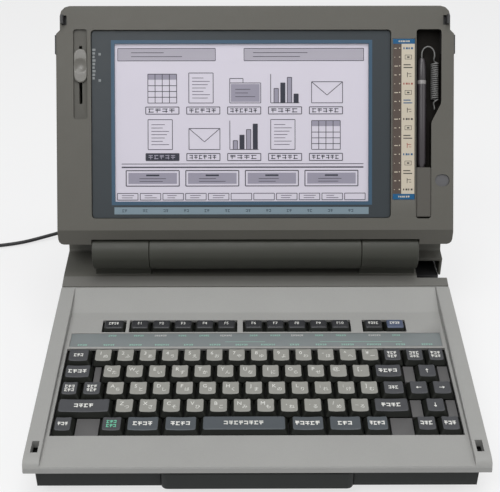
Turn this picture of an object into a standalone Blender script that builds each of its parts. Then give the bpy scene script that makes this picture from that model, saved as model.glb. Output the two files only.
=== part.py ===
# Electronic word processor: a wedge-shaped base with a keyboard in front and a
# printer behind, and a lid with a liquid crystal screen on a barrel hinge.
# Metres, +Z up, +Y to the back. The origin is on the table, at the middle of the
# space that the machine takes up.
import math

import bmesh
import bpy
from mathutils import Matrix, Vector

for item in list(bpy.data.objects):
    bpy.data.objects.remove(item, do_unlink=True)

MM = 0.001

# Sizes that the whole machine follows
width = 358 * MM
depth = 350 * MM
rear_height = 106 * MM
front_height = 40 * MM
wall = 2.5 * MM
gap = 0.3 * MM
running_gap = 0.4 * MM
overrun = 5 * MM
half_width = width / 2
front_y = -depth / 2
back_y = depth / 2

# The deck: the light front half, with the keyboard's floor between two rims
deck_angle = math.radians(6.0)
rim_width = 13 * MM
rim_rise = 3.9 * MM
lid_closed_angle = math.radians(7.1)
crest_reach = 200 * MM
crest_height = 68.5 * MM
slope_reach = 172 * MM
slope_run = 9 * MM
seam_height = 34 * MM
nose_run = 9 * MM
floor_slope = math.tan(deck_angle)
rim_slope = math.tan(lid_closed_angle)

# The rear half, in the dark plastic of the lid
shelf_drop = 0.7 * MM
shelf_height = 71 * MM
shelf_reach = 212 * MM
wall_foot_reach = 249 * MM
wall_foot_height = 76 * MM
wall_top_reach = 257 * MM
edge_round = 2.5 * MM

# Keyboard: pitch, key form and the plate below
key_pitch = 19 * MM
key_gap = 1 * MM
key_rise = 4.3 * MM
key_height = 8.4 * MM
key_skirt = 3.2 * MM
key_taper = 2.3 * MM
key_dish = 0.5 * MM
key_rim = 1.1 * MM
key_corner = 1.2 * MM
stem_side = 6 * MM
stem_length = 9 * MM
plate_top = -7.5 * MM
plate_thickness = 2 * MM
well_width = 327 * MM
well_start = 31 * MM
well_end = 127.5 * MM
plate_start = 28 * MM
plate_end = 168 * MM
first_row_reach = 40.4 * MM
function_row_reach = 155.6 * MM
function_depth = 14 * MM
function_rise = 3 * MM
legend_start = 130 * MM
legend_end = 146.5 * MM
legend_recess = 1 * MM

# Lid, hung on an axis above the rear shelf
hinge_reach = 219.8 * MM
hinge_height = 94.6 * MM
lid_lean = math.radians(31)
lid_length = 214.5 * MM
lid_foot = 5.9 * MM
lid_face = -22.7 * MM
lid_back = 8.3 * MM
pen_radius = 4 * MM
pen_sunk = 0.7 * MM
pen_back_room = 0.5 * MM
bay_floor = 1.2 * MM
pen_depth = pen_radius + pen_sunk
pen_bay_depth = pen_depth + pen_radius + pen_back_room
lid_split = lid_face + pen_bay_depth + bay_floor
lid_corner = 9 * MM
lid_narrowing = 3.5 * MM
lid_narrow_length = 25 * MM
lid_chamfer = 13 * MM
lid_chamfer_depth = 8 * MM
barrel_radius = 17 * MM
neck_half = 97 * MM
knuckle_half = 149 * MM
pin_radius = 4 * MM
pin_reach = 20 * MM


def from_front(reach):
    return front_y + reach


# Groups, finishes and frames
parts = bpy.data.collections.new("word_processor")
tools = bpy.data.collections.new("cutters")
for group in (parts, tools):
    bpy.context.scene.collection.children.link(group)

lid_grey = (0.150, 0.136, 0.120)
deck_grey = (0.350, 0.342, 0.330)
dark_grey = (0.055, 0.055, 0.056)
light_key = (0.400, 0.375, 0.325)
dark_key = (0.075, 0.075, 0.078)
steel_grey = (0.600, 0.600, 0.620)
black = (0.020, 0.020, 0.021)


def finish(name, colour, roughness, metallic=0.0):
    """A material with one colour, as the moulding or sheet has it."""
    material = bpy.data.materials.new(name)
    material.use_nodes = True
    shader = material.node_tree.nodes["Principled BSDF"]
    shader.inputs["Base Color"].default_value = (*colour, 1.0)
    shader.inputs["Roughness"].default_value = roughness
    shader.inputs["Metallic"].default_value = metallic
    material.diffuse_color = (*colour, 1.0)
    return material


def axis_frame(name, place, turn=0.0):
    """An empty that a group of pieces hangs on, turned about X."""
    frame = bpy.data.objects.new(name, None)
    frame.location = place
    frame.rotation_euler = (turn, 0, 0)
    parts.objects.link(frame)
    return frame


deck_frame = axis_frame("deck_frame", (0, front_y, front_height), deck_angle)
lid_frame = axis_frame("lid_frame", (0, from_front(hinge_reach), hinge_height), -lid_lean)


def put(name, bm, group, frame, place):
    bmesh.ops.recalc_face_normals(bm, faces=bm.faces)
    mesh = bpy.data.meshes.new(name)
    bm.to_mesh(mesh)
    bm.free()
    item = bpy.data.objects.new(name, mesh)
    group.objects.link(item)
    item.parent = frame
    item.location = place
    return item


def piece(name, bm, colour, roughness=0.5, metallic=0.0, frame=None, place=(0, 0, 0)):
    """A finished sub-part with a material of its own."""
    item = put(name, bm, parts, frame, place)
    item.data.materials.append(finish(name, colour, roughness, metallic))
    item.data.shade_smooth()
    item.data.set_sharp_from_angle(angle=math.radians(35))
    return item


def shape(item, name, bm, operation, place, solver):
    """Cuts a form from a sub-part, or joins one to it, in the sub-part's own frame."""
    tool = put(name, bm, tools, item.parent, place)
    tool.hide_render = True
    tool.display_type = "WIRE"
    step = item.modifiers.new(name, "BOOLEAN")
    step.operation = operation
    step.solver = solver
    step.object = tool
    return tool


def cut(item, name, bm, place=(0, 0, 0), solver="EXACT"):
    return shape(item, name, bm, "DIFFERENCE", place, solver)


def join(item, name, bm, place=(0, 0, 0)):
    return shape(item, name, bm, "UNION", place, "EXACT")


# Forms: a block between two corners, a rod along an axis, a slab with an outline
def block(low, high, edge=0.0, steps=2):
    bm = bmesh.new()
    bmesh.ops.create_cube(bm, size=1.0)
    low, high = Vector(low), Vector(high)
    size = high - low
    bmesh.ops.transform(bm, matrix=Matrix.Diagonal(size).to_4x4(), verts=bm.verts)
    bmesh.ops.translate(bm, vec=(low + high) / 2, verts=bm.verts)
    if edge > 0:
        bmesh.ops.bevel(bm, geom=bm.edges, offset=edge, segments=steps, profile=0.5,
                        affect="EDGES", material=-1)
    return bm


def mirrored_blocks(low, high):
    """The same block on the right and on the left."""
    bm = block(low, high)
    other = bmesh.ops.duplicate(bm, geom=bm.verts[:] + bm.edges[:] + bm.faces[:])["geom"]
    flipped = [element for element in other if isinstance(element, bmesh.types.BMVert)]
    bmesh.ops.scale(bm, vec=(-1, 1, 1), verts=flipped)
    return bm


TURNS = {"X": Matrix.Rotation(math.pi / 2, 4, "Y"),
         "Y": Matrix.Rotation(-math.pi / 2, 4, "X"),
         "Z": Matrix.Identity(4)}


def rod(radius, start, end, axis="X", centre=(0, 0, 0), sides=24, end_radius=None):
    bm = bmesh.new()
    far = radius if end_radius is None else end_radius
    middle = Matrix.Translation((0, 0, (start + end) / 2))
    bmesh.ops.create_cone(bm, cap_ends=True, segments=sides, radius1=radius, radius2=far,
                          depth=end - start, matrix=middle)
    bmesh.ops.transform(bm, matrix=Matrix.Translation(centre) @ TURNS[axis], verts=bm.verts)
    return bm


def turned(profile, sides):
    """A profile of (radius, height) points turned about Z, top to bottom at +X."""
    bm = bmesh.new()
    corners = [bm.verts.new((radius, 0, height)) for radius, height in profile]
    for first, second in zip(corners, corners[1:]):
        bm.edges.new((first, second))
    mesh = bpy.data.meshes.new("profile")
    bm.to_mesh(mesh)
    bm.free()
    item = bpy.data.objects.new("profile", mesh)
    tools.objects.link(item)
    screw = item.modifiers.new("turn", "SCREW")
    screw.steps = sides
    screw.render_steps = sides
    screw.use_merge_vertices = True
    screw.merge_threshold = 0.01 * MM
    return evaluated(item)


def evaluated(item):
    """The item's finished mesh as a bmesh with its seams welded; the item goes."""
    graph = bpy.context.evaluated_depsgraph_get()
    mesh = bpy.data.meshes.new_from_object(item.evaluated_get(graph))
    bm = bmesh.new()
    bm.from_mesh(mesh)
    bmesh.ops.remove_doubles(bm, verts=bm.verts, dist=0.01 * MM)
    bpy.data.objects.remove(item, do_unlink=True)
    return bm


PLANES = {"YZ": Matrix(((0, 0, 1, 0), (1, 0, 0, 0), (0, 1, 0, 0), (0, 0, 0, 1))),
          "XZ": Matrix(((1, 0, 0, 0), (0, 0, 1, 0), (0, 1, 0, 0), (0, 0, 0, 1))),
          "XY": Matrix.Identity(4)}
flat_angle = math.radians(0.5)


def slab(outline, start, end, plane):
    """An outline filled and extruded from start to end, square to its plane."""
    curve = bpy.data.curves.new("outline", "CURVE")
    curve.dimensions = "2D"
    curve.fill_mode = "BOTH"
    curve.extrude = (end - start) / 2
    spline = curve.splines.new("POLY")
    spline.points.add(len(outline) - 1)
    for point, (across, up) in zip(spline.points, outline):
        point.co = (across, up, 0, 1)
    spline.use_cyclic_u = True
    item = bpy.data.objects.new("outline", curve)
    tools.objects.link(item)
    bm = evaluated(item)
    bmesh.ops.dissolve_limit(bm, angle_limit=flat_angle, verts=bm.verts, edges=bm.edges)
    bmesh.ops.translate(bm, vec=(0, 0, (start + end) / 2), verts=bm.verts)
    bmesh.ops.transform(bm, matrix=PLANES[plane], verts=bm.verts)
    return bm


def rounded(corners, steps=3):
    """An outline whose corners, given as (x, y, radius), become arcs."""
    points = []
    for index, (x, y, radius) in enumerate(corners):
        here = Vector((x, y))
        if radius <= 0:
            points.append((x, y))
            continue
        before = Vector(corners[index - 1][:2]) - here
        after = Vector(corners[(index + 1) % len(corners)][:2]) - here
        half_angle = before.angle(after) / 2
        run = radius / math.tan(half_angle)
        run = min(run, before.length / 2, after.length / 2)
        radius = run * math.tan(half_angle)
        bisector = (before.normalized() + after.normalized()).normalized()
        centre = here + bisector * (radius / math.sin(half_angle))
        first = here + before.normalized() * run - centre
        last = here + after.normalized() * run - centre
        start = math.atan2(first.y, first.x)
        sweep = math.remainder(math.atan2(last.y, last.x) - start, 2 * math.pi)
        for step in range(steps + 1):
            angle = start + sweep * step / steps
            point = centre + Vector((math.cos(angle), math.sin(angle))) * radius
            points.append((point.x, point.y))
    return points


def rectangle(left, right, low, high, radius):
    return rounded([(left, low, radius), (right, low, radius),
                    (right, high, radius), (left, high, radius)])


# Bottom case: a dark tray, set in under the housings, with posts for what it carries
foot_height = 3 * MM
foot_radius = 9 * MM
foot_inset_x = 30 * MM
foot_inset_y = 28 * MM
case_side_inset = 7 * MM
case_front_inset = 8 * MM
case_back_inset = 6 * MM
case_draw = 9 * MM
case_bottom = foot_height + gap
case_top = seam_height - gap
case_half = half_width - case_side_inset
case_front = from_front(case_front_inset)
case_back = back_y - case_back_inset
case_floor = case_bottom + wall

case_knee = case_bottom + case_draw
bm = block((-case_half, case_front, case_knee), (case_half, case_back, case_top))
sole = min(bm.faces, key=lambda face: face.calc_center_median().z)
sole = bmesh.ops.extrude_discrete_faces(bm, faces=[sole])["faces"][0]
for vert in sole.verts:
    vert.co.x -= math.copysign(case_draw, vert.co.x)
    vert.co.y -= math.copysign(case_draw, vert.co.y)
    vert.co.z = case_bottom
bottom_case = piece("bottom_case", bm, dark_grey, 0.6)
cavity_half = case_half - case_draw - wall
cut(bottom_case, "case_cavity",
    block((-cavity_half, case_front + case_draw + wall, case_floor),
          (cavity_half, case_back - case_draw - wall, case_top + overrun)))
side_half = case_half - wall
side_floor = case_knee + wall / 2
cut(bottom_case, "case_side_cavity",
    block((-side_half, case_front + wall, side_floor),
          (side_half, case_back - wall, case_top + overrun)))

# Feet: four rubber discs
foot_x = case_half - foot_inset_x
foot_front_y = case_front + foot_inset_y
foot_back_y = case_back - foot_inset_y
for side, sign in (("left", -1), ("right", 1)):
    for end, reach in (("front", foot_front_y), ("back", foot_back_y)):
        bm = rod(foot_radius, 0, foot_height, "Z", (sign * foot_x, reach, 0), 16)
        piece(f"foot_{end}_{side}", bm, black, 0.9)

# Keyboard housing: one light moulding with the rims, the floor and the crest
floor_at_slope = front_height + slope_reach * floor_slope
rim_front = front_height + rim_rise + nose_run * rim_slope
nose_drop_share = 0.25
outer = [(front_y, seam_height), (from_front(crest_reach), seam_height),
         (from_front(crest_reach), crest_height - edge_round / 2),
         (from_front(crest_reach - edge_round), crest_height),
         (from_front(nose_run), rim_front),
         (from_front(nose_run / 2), rim_front - rim_rise * nose_drop_share),
         (from_front(nose_run / 6), rim_front - rim_rise * (1 - nose_drop_share)),
         (front_y, front_height - edge_round / 2)]
keyboard_housing = piece("keyboard_housing", slab(outer, -half_width, half_width, "YZ"),
                         deck_grey, 0.55)
floor_half = half_width - rim_width
floor_cut = rounded([(front_y - overrun, front_height - overrun * floor_slope, 0),
                     (from_front(slope_reach), floor_at_slope, slope_run),
                     (from_front(crest_reach - edge_round), crest_height - edge_round / 4, 0),
                     (from_front(crest_reach), crest_height + overrun, 0),
                     (front_y - overrun, crest_height + overrun, 0)], 4)
cut(keyboard_housing, "palm_floor", slab(floor_cut, -floor_half, floor_half, "YZ"))
under = [(front_y + wall, seam_height - overrun),
         (from_front(crest_reach) - wall, seam_height - overrun),
         (from_front(crest_reach) - wall, crest_height - wall - edge_round),
         (from_front(slope_reach), floor_at_slope - wall),
         (front_y + wall, front_height - wall)]
cut(keyboard_housing, "deck_cavity",
    slab(under, -half_width + wall, half_width - wall, "YZ"))

# Key well, slots for the function keys and the bed of the legend strip, square to the deck
well = put("key_well", block((-well_width / 2, well_start, plate_top),
                             (well_width / 2, well_end, rear_height)),
           tools, deck_frame, (0, 0, 0))
legend_half = well_width / 2 - key_gap
legend_bed = put("legend_bed", block((-legend_half, legend_start, -legend_recess),
                                     (legend_half, legend_end, rear_height)),
                 tools, deck_frame, (0, 0, 0))
function_front = function_row_reach - function_depth / 2
function_groups = ((-136.0 * MM, 1), (-112.0 * MM, 5), (-11.0 * MM, 5), (95.5 * MM, 2))
function_pitch = 19.2 * MM
single_width = 21 * MM
slot_margin = 0.6 * MM


def function_keys():
    """Left edge and width of each function key, group by group."""
    for left, count in function_groups:
        wide = single_width if count == 1 else function_pitch
        for index in range(count):
            yield left + index * wide, wide


slots = bmesh.new()
for left, count in function_groups:
    wide = single_width if count == 1 else function_pitch
    opening = block((left - slot_margin, function_front - slot_margin, plate_top),
                    (left + wide * count + slot_margin - key_gap,
                     function_front + function_depth + slot_margin, rear_height))
    mesh = bpy.data.meshes.new("slot")
    opening.to_mesh(mesh)
    opening.free()
    slots.from_mesh(mesh)
function_slots = put("function_slots", slots, tools, deck_frame, (0, 0, 0))
for tool in (well, legend_bed, function_slots):
    tool.hide_render = True
    tool.display_type = "WIRE"
    step = keyboard_housing.modifiers.new(tool.name, "BOOLEAN")
    step.solver = "EXACT"
    step.object = tool

# Latch slots, sunk in the rims where the lid's hooks drop in
latch_x = 172.5 * MM
latch_slot_width = 5.6 * MM
latch_slot_length = 11 * MM
latch_reach = 16.5 * MM
latch_slot_depth = 10 * MM
latch_slot_low = front_height + rim_rise - latch_slot_depth
latch_travel = 2 * MM
latch_slot_x = latch_x - latch_travel / 2
cut(keyboard_housing, "latch_slots",
    mirrored_blocks((latch_slot_x - latch_slot_width / 2,
                     from_front(latch_reach - latch_slot_length / 2), latch_slot_low),
                    (latch_slot_x + latch_slot_width / 2,
                     from_front(latch_reach + latch_slot_length / 2), crest_height)))

legend_thickness = 0.6 * MM
piece("legend_panel",
      block((-legend_half + gap, legend_start + gap, -legend_recess + gap),
            (legend_half - gap, legend_end - gap, -legend_recess + gap + legend_thickness)),
      (0.13, 0.16, 0.18), 0.45, frame=deck_frame)

# Key plate: a tray hung under the deck, with the letter keys standing on it
plate_half = well_width / 2 + rim_width / 4
plate_wall = 2 * MM
rail_top = -wall - gap - slope_run * (1 - math.cos(deck_angle))


def keycap(left, right, front, back, top, skirt=key_skirt, height=key_height):
    """A key with an upright skirt, tapered shoulders and a dished top."""
    base = top - height
    bm = block((left, front, base), (right, back, base + skirt))
    upright = [e for e in bm.edges if abs(e.verts[0].co.z - e.verts[1].co.z) > skirt / 2]
    bmesh.ops.bevel(bm, geom=upright, offset=key_corner, segments=1, profile=0.5,
                    affect="EDGES", material=-1)
    centre = Vector(((left + right) / 2, (front + back) / 2, 0))
    bm.faces.ensure_lookup_table()
    crown = max(bm.faces, key=lambda face: face.calc_center_median().z)
    for inset, rise in ((key_taper, height - skirt), (key_rim, -key_dish)):
        span_x = max(v.co.x for v in crown.verts) - min(v.co.x for v in crown.verts)
        span_y = max(v.co.y for v in crown.verts) - min(v.co.y for v in crown.verts)
        grown = bmesh.ops.extrude_discrete_faces(bm, faces=[crown])["faces"]
        crown = grown[0]
        scale = (1 - 2 * inset / span_x, 1 - 2 * inset / span_y, 1)
        space = Matrix.Translation(-centre)
        bmesh.ops.scale(bm, vec=scale, space=space, verts=crown.verts)
        bmesh.ops.translate(bm, vec=(0, 0, rise), verts=crown.verts)
    return bm


def merge(bm, other):
    mesh = bpy.data.meshes.new("merge")
    other.to_mesh(mesh)
    other.free()
    bm.from_mesh(mesh)


def key_with_stem(left, right, front, back, top, stem_bottom, height=key_height):
    """A keycap and its square stem in one piece."""
    bm = keycap(left, right, front, back, top, height=height)
    middle_x, middle_y = (left + right) / 2, (front + back) / 2
    half = stem_side / 2
    base = top - height
    bm.faces.ensure_lookup_table()
    sole = min(bm.faces, key=lambda face: face.calc_center_median().z)
    bmesh.ops.inset_individual(bm, faces=[sole], thickness=half / 2)
    stretch_x = half / ((max(v.co.x for v in sole.verts) - min(v.co.x for v in sole.verts)) / 2)
    stretch_y = half / ((max(v.co.y for v in sole.verts) - min(v.co.y for v in sole.verts)) / 2)
    space = Matrix.Translation((-middle_x, -middle_y, 0))
    bmesh.ops.scale(bm, vec=(stretch_x, stretch_y, 1), space=space, verts=sole.verts)
    stem = bmesh.ops.extrude_discrete_faces(bm, faces=[sole])["faces"][0]
    bmesh.ops.translate(bm, vec=(0, 0, stem_bottom - base), verts=stem.verts)
    return bm


# Rows from the space bar's to the numbers': middle of the first light key, and how many
row_starts = (-102.0 * MM, -106.8 * MM, -116.3 * MM, -121.1 * MM, -130.6 * MM)
row_counts = (0, 11, 12, 12, 13)
half_key = (key_pitch - key_gap) / 2


def row_reach(row):
    return first_row_reach + row * key_pitch


def letter_keys():
    """Edges of the light keys, which stand in four staggered rows."""
    for row in range(1, len(row_starts)):
        for index in range(row_counts[row]):
            middle = row_starts[row] + index * key_pitch
            yield row, middle - half_key, middle + half_key


# Dark keys and blank fillers: row, left edge, right edge
dark_keys = (
    (4, -162.0 * MM, -141.2 * MM), (4, 107.4 * MM, 125.4 * MM), (4, 126.4 * MM, 144.4 * MM),
    (4, 145.4 * MM, 162.0 * MM),
    (2, -162.0 * MM, -145.4 * MM), (2, -144.4 * MM, -126.4 * MM), (2, 102.7 * MM, 123.0 * MM),
    (0, -162.0 * MM, -145.0 * MM), (0, -124.5 * MM, -105.5 * MM))
fillers = (
    (3, -136.6 * MM, -131.2 * MM), (3, 124.4 * MM, 133.2 * MM), (3, 153.4 * MM, 162.0 * MM),
    (1, 125.2 * MM, 134.2 * MM), (1, 154.4 * MM, 162.0 * MM),
    (0, -144.0 * MM, -125.5 * MM), (0, 106.6 * MM, 124.4 * MM))
# Keys with a joint of their own: name, row, left edge, right edge
single_keys = (
    ("key_tab", 3, -162.0 * MM, -137.6 * MM),
    ("key_return", 3, 98.0 * MM, 123.4 * MM),
    ("key_shift_left", 1, -162.0 * MM, -117.0 * MM),
    ("key_shift_right", 1, 93.2 * MM, 124.2 * MM),
    ("key_up", 3, 134.2 * MM, 152.4 * MM),
    ("key_left", 2, 124.4 * MM, 142.6 * MM),
    ("key_right", 2, 143.6 * MM, 162.0 * MM),
    ("key_down", 1, 135.2 * MM, 153.4 * MM),
    ("key_mode", 0, -104.5 * MM, -76.0 * MM),
    ("key_word", 0, -74.6 * MM, -46.0 * MM),
    ("key_space", 0, -45.0 * MM, 24.5 * MM),
    ("key_convert", 0, 26.0 * MM, 54.6 * MM),
    ("key_next", 0, 55.6 * MM, 84.2 * MM),
    ("key_menu", 0, 85.2 * MM, 105.6 * MM),
    ("key_cancel", 0, 125.4 * MM, 143.4 * MM),
    ("key_run", 0, 144.4 * MM, 162.0 * MM))

tray = block((-plate_half, plate_start, plate_top - plate_thickness),
             (plate_half, plate_end, rail_top))
key_plate = piece("key_plate", tray, light_key, 0.6, frame=deck_frame)
cut(key_plate, "tray_hollow",
    block((-plate_half + plate_wall, plate_start + plate_wall, plate_top),
          (plate_half - plate_wall, plate_end - plate_wall, overrun)))
sunk = plate_top - plate_thickness / 2


def standing_key(left, right, front, back, top):
    """A keycap with a plain square stem down into the plate."""
    middle_x, middle_y, half = (left + right) / 2, (front + back) / 2, stem_side / 2
    merge(standing, keycap(left, right, front, back, top))
    merge(standing_stems, block((middle_x - half, middle_y - half, sunk),
                                (middle_x + half, middle_y + half,
                                 top - key_height + key_skirt)))


standing = bmesh.new()
standing_stems = bmesh.new()
for row, left, right in list(letter_keys()) + list(dark_keys):
    front = row_reach(row) - half_key
    standing_key(left, right, front, front + 2 * half_key, key_rise)
for left, wide in function_keys():
    standing_key(left, left + wide - key_gap, function_front,
                 function_front + function_depth, function_rise)
for row, left, right in fillers:
    front = row_reach(row) - half_key
    merge(standing, block((left, front, sunk), (right, front + 2 * half_key, -key_gap)))
join(key_plate, "standing_stems", standing_stems)
join(key_plate, "standing_keys", standing)

holes = bmesh.new()
for name, row, left, right in single_keys:
    middle_x, middle_y = (left + right) / 2, row_reach(row)
    hole = stem_side / 2 + running_gap
    merge(holes, block((middle_x - hole, middle_y - hole, plate_top - overrun),
                       (middle_x + hole, middle_y + hole, plate_top + plate_thickness)))
    colour = light_key if name in ("key_space", "key_convert") else dark_key
    front = -half_key
    piece(name, key_with_stem(left - middle_x, right - middle_x, front, half_key, key_rise,
                              key_rise - key_height - stem_length),
          colour, 0.6, frame=deck_frame, place=(middle_x, middle_y, 0))
cut(key_plate, "stem_holes", holes)

# Printer housing: the shelf, the wall and the roof over the printer, in one moulding
bay_half = 152 * MM
bay_start = 263 * MM
bay_end = 334 * MM
shelf_start = crest_reach + gap
body = rounded([
    (from_front(shelf_start), seam_height, 0),
    (back_y, seam_height, 0),
    (back_y, rear_height, edge_round),
    (from_front(wall_top_reach), rear_height, edge_round),
    (from_front(wall_foot_reach), wall_foot_height, edge_round),
    (from_front(shelf_reach), shelf_height, 0),
    (from_front(shelf_start), crest_height - shelf_drop, 0)][::-1])
printer_housing = piece("printer_housing", slab(body, -half_width, half_width, "YZ"),
                        lid_grey, 0.6)
knuckle_foot_share = 0.45
knuckle_front_share = 0.27
axis_y = from_front(hinge_reach)
for sign, side in ((-1, "left"), (1, "right")):
    inner = min(sign * (neck_half + running_gap / 2), sign * knuckle_half)
    outer_end = max(sign * (neck_half + running_gap / 2), sign * knuckle_half)
    join(printer_housing, f"knuckle_{side}",
         rod(barrel_radius, inner, outer_end, "X", (0, axis_y, hinge_height), 32))
    join(printer_housing, f"knuckle_foot_{side}",
         block((inner, axis_y - barrel_radius * knuckle_front_share, shelf_height - wall),
               (outer_end, axis_y + barrel_radius * knuckle_foot_share,
                hinge_height - barrel_radius / 2)))
hollow = [
    (from_front(shelf_start) + wall, seam_height - overrun),
    (back_y - wall, seam_height - overrun),
    (back_y - wall, rear_height - wall),
    (from_front(wall_top_reach) + wall, rear_height - wall),
    (from_front(wall_foot_reach) + wall, wall_foot_height - wall),
    (from_front(shelf_reach), shelf_height - wall),
    (from_front(shelf_start) + wall, crest_height - shelf_drop - wall)][::-1]
cut(printer_housing, "rear_cavity",
    slab(hollow, -half_width + wall, half_width - wall, "YZ"))
cut(printer_housing, "printer_bay",
    block((-bay_half, from_front(bay_start), rear_height - 2 * wall),
          (bay_half, from_front(bay_end), rear_height + overrun)))
vent_width = 3 * MM
vent_pitch = 8 * MM
vent_low = 58 * MM
vent_high = 84 * MM
vent_start = -150 * MM
vent_count = 9
vents = bmesh.new()
for index in range(vent_count):
    left = vent_start + index * vent_pitch
    merge(vents, block((left, back_y - wall - overrun, vent_low),
                       (left + vent_width, back_y + overrun, vent_high)))
cut(printer_housing, "vents", vents)

# Hinge pins: steel, half in a knuckle and half in the lid's barrel
cut(printer_housing, "pin_bores",
    rod(pin_radius + running_gap, -neck_half - pin_reach - gap,
        neck_half + pin_reach + gap, "X", (0, axis_y, hinge_height), 16))
for sign, side in ((-1, "left"), (1, "right")):
    ends = sorted((sign * (neck_half - pin_reach), sign * (neck_half + pin_reach)))
    piece(f"hinge_pin_{side}",
          rod(pin_radius, ends[0], ends[1], "X", (0, 0, 0), 16),
          steel_grey, 0.3, 1.0, place=(0, axis_y, hinge_height))

# Disk drive on the right, with its mouth in the side and a notch for the fingers
drive_front_reach = 173 * MM
drive_width = 100 * MM
drive_low = 36 * MM
drive_high = 55 * MM
drive_left = 30 * MM
drive_face = half_width - 2 * MM
mouth_margin = 0.5 * MM
slot_low = 44.5 * MM
slot_high = 50 * MM
slot_side = 4 * MM
slot_depth = 90 * MM
notch_width = 28 * MM
notch_length = 26 * MM
notch_middle = drive_front_reach + drive_width / 2
drive_front = from_front(drive_front_reach)
drive_back = drive_front + drive_width
floppy_drive = piece("floppy_drive",
                     block((drive_left, drive_front, drive_low),
                           (drive_face, drive_back, drive_high)), dark_grey, 0.5)
cut(floppy_drive, "disk_slot",
    block((drive_face - slot_depth, drive_front + slot_side, slot_low),
          (drive_face + overrun, drive_back - slot_side, slot_high)))
for housing, name in ((keyboard_housing, "mouth_front"), (printer_housing, "mouth_back")):
    cut(housing, name,
        block((drive_left - mouth_margin, drive_front - mouth_margin,
               drive_low - mouth_margin),
              (half_width + overrun, drive_back + mouth_margin, drive_high + mouth_margin)))
notch_low = (half_width - notch_width, from_front(notch_middle - notch_length / 2))
notch_high = (half_width + overrun, from_front(notch_middle + notch_length / 2))
for owner, name in ((printer_housing, "finger_notch"), (floppy_drive, "finger_dip")):
    cut(owner, name, block((*notch_low, slot_low + gap), (*notch_high, rear_height)))

# Eject button in the drive's face
eject_width = 9 * MM
eject_height = 4.5 * MM
eject_length = 9 * MM
eject_proud = 1.2 * MM
eject_y = drive_back - slot_side - eject_width
eject_z = drive_low + eject_height
eject_travel = 4 * MM
half_eject = eject_width / 2
half_rise = eject_height / 2
cut(floppy_drive, "eject_bore",
    block((drive_face - eject_length - eject_travel - gap, eject_y - half_eject - gap,
           eject_z - half_rise - gap),
          (drive_face + overrun, eject_y + half_eject + gap, eject_z + half_rise + gap)))
piece("disk_eject_button",
      block((-eject_length, -half_eject, -half_rise), (eject_proud, half_eject, half_rise)),
      black, 0.5, place=(drive_face, eject_y, eject_z))

# Power switch: a slide in the left side of the rear housing
switch_reach = 296 * MM
switch_height = 56 * MM
switch_width = 8 * MM
switch_length = 11 * MM
switch_travel = 5 * MM
switch_proud = 1.2 * MM
switch_depth = 6 * MM
switch_y = from_front(switch_reach)
half_switch = switch_width / 2
half_length = switch_length / 2
cut(printer_housing, "switch_window",
    block((-half_width - overrun, switch_y - half_length - gap,
           switch_height - half_switch - gap),
          (-half_width + 2 * wall, switch_y + half_length + switch_travel + gap,
           switch_height + half_switch + gap)))
piece("power_switch",
      block((-switch_proud, -half_length, -half_switch),
            (switch_depth, half_length, half_switch)),
      black, 0.5, place=(-half_width, switch_y, switch_height))

# Carrying handle, which pulls out of the front of the bottom case on two arms
handle_half = 75 * MM
handle_low = 13 * MM
handle_high = 30 * MM
handle_front = 3 * MM
handle_back = 13 * MM
arm_half = 64 * MM
arm_width = 8 * MM
arm_end = 75 * MM
arm_low = 17 * MM
arm_high = 26 * MM
guide_start = 22 * MM
guide_end = 30 * MM
guide_wall = 3 * MM
cut(bottom_case, "handle_opening",
    block((-handle_half - running_gap, case_front - overrun, handle_low - running_gap),
          (handle_half + running_gap, case_front + 2 * wall, handle_high + running_gap)))
grip_depth = handle_back - handle_front
grip_corner_share = 0.6
grip_corner = grip_depth * grip_corner_share
grip = rounded([(-handle_half, from_front(handle_back), 0),
                (-handle_half, from_front(handle_front), grip_corner),
                (handle_half, from_front(handle_front), grip_corner),
                (handle_half, from_front(handle_back), 0)], 4)
carry_handle = piece("carry_handle", slab(grip, handle_low, handle_high, "XY"),
                     dark_grey, 0.6)
join(carry_handle, "handle_arms",
     mirrored_blocks((arm_half - arm_width / 2, from_front(handle_back) - wall, arm_low),
                     (arm_half + arm_width / 2, from_front(arm_end), arm_high)))
for sign, side in ((-1, "left"), (1, "right")):
    middle = sign * arm_half
    clear = arm_width / 2 + running_gap
    guide = block((middle - clear - guide_wall, from_front(guide_start), case_bottom + wall / 2),
                  (middle + clear + guide_wall, from_front(guide_end), arm_high + guide_wall))
    join(bottom_case, f"guide_{side}", guide)
    cut(bottom_case, f"guide_slot_{side}",
        block((middle - clear, from_front(guide_start) - overrun, arm_low - running_gap),
              (middle + clear, from_front(guide_end) + overrun, arm_high + running_gap)))

# Circuit board behind the handle, on posts, and the power supply at the rear left
post_radius = 4 * MM
board_low = 12 * MM
board_thickness = 1.6 * MM
board_half = 150 * MM
board_start = 88 * MM
board_end = 166 * MM
supply_left = -160 * MM
supply_right = -78 * MM
supply_start = 262 * MM
supply_end = 328 * MM
supply_low = 12 * MM
supply_high = 46 * MM


def posts(name, places, top):
    """Round posts that stand on the bottom case and carry what lies above."""
    group = bmesh.new()
    for x, y in places:
        merge(group, rod(post_radius, case_bottom + wall / 2, top - gap, "Z", (x, y, 0), 12))
    join(bottom_case, name, group)


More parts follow.
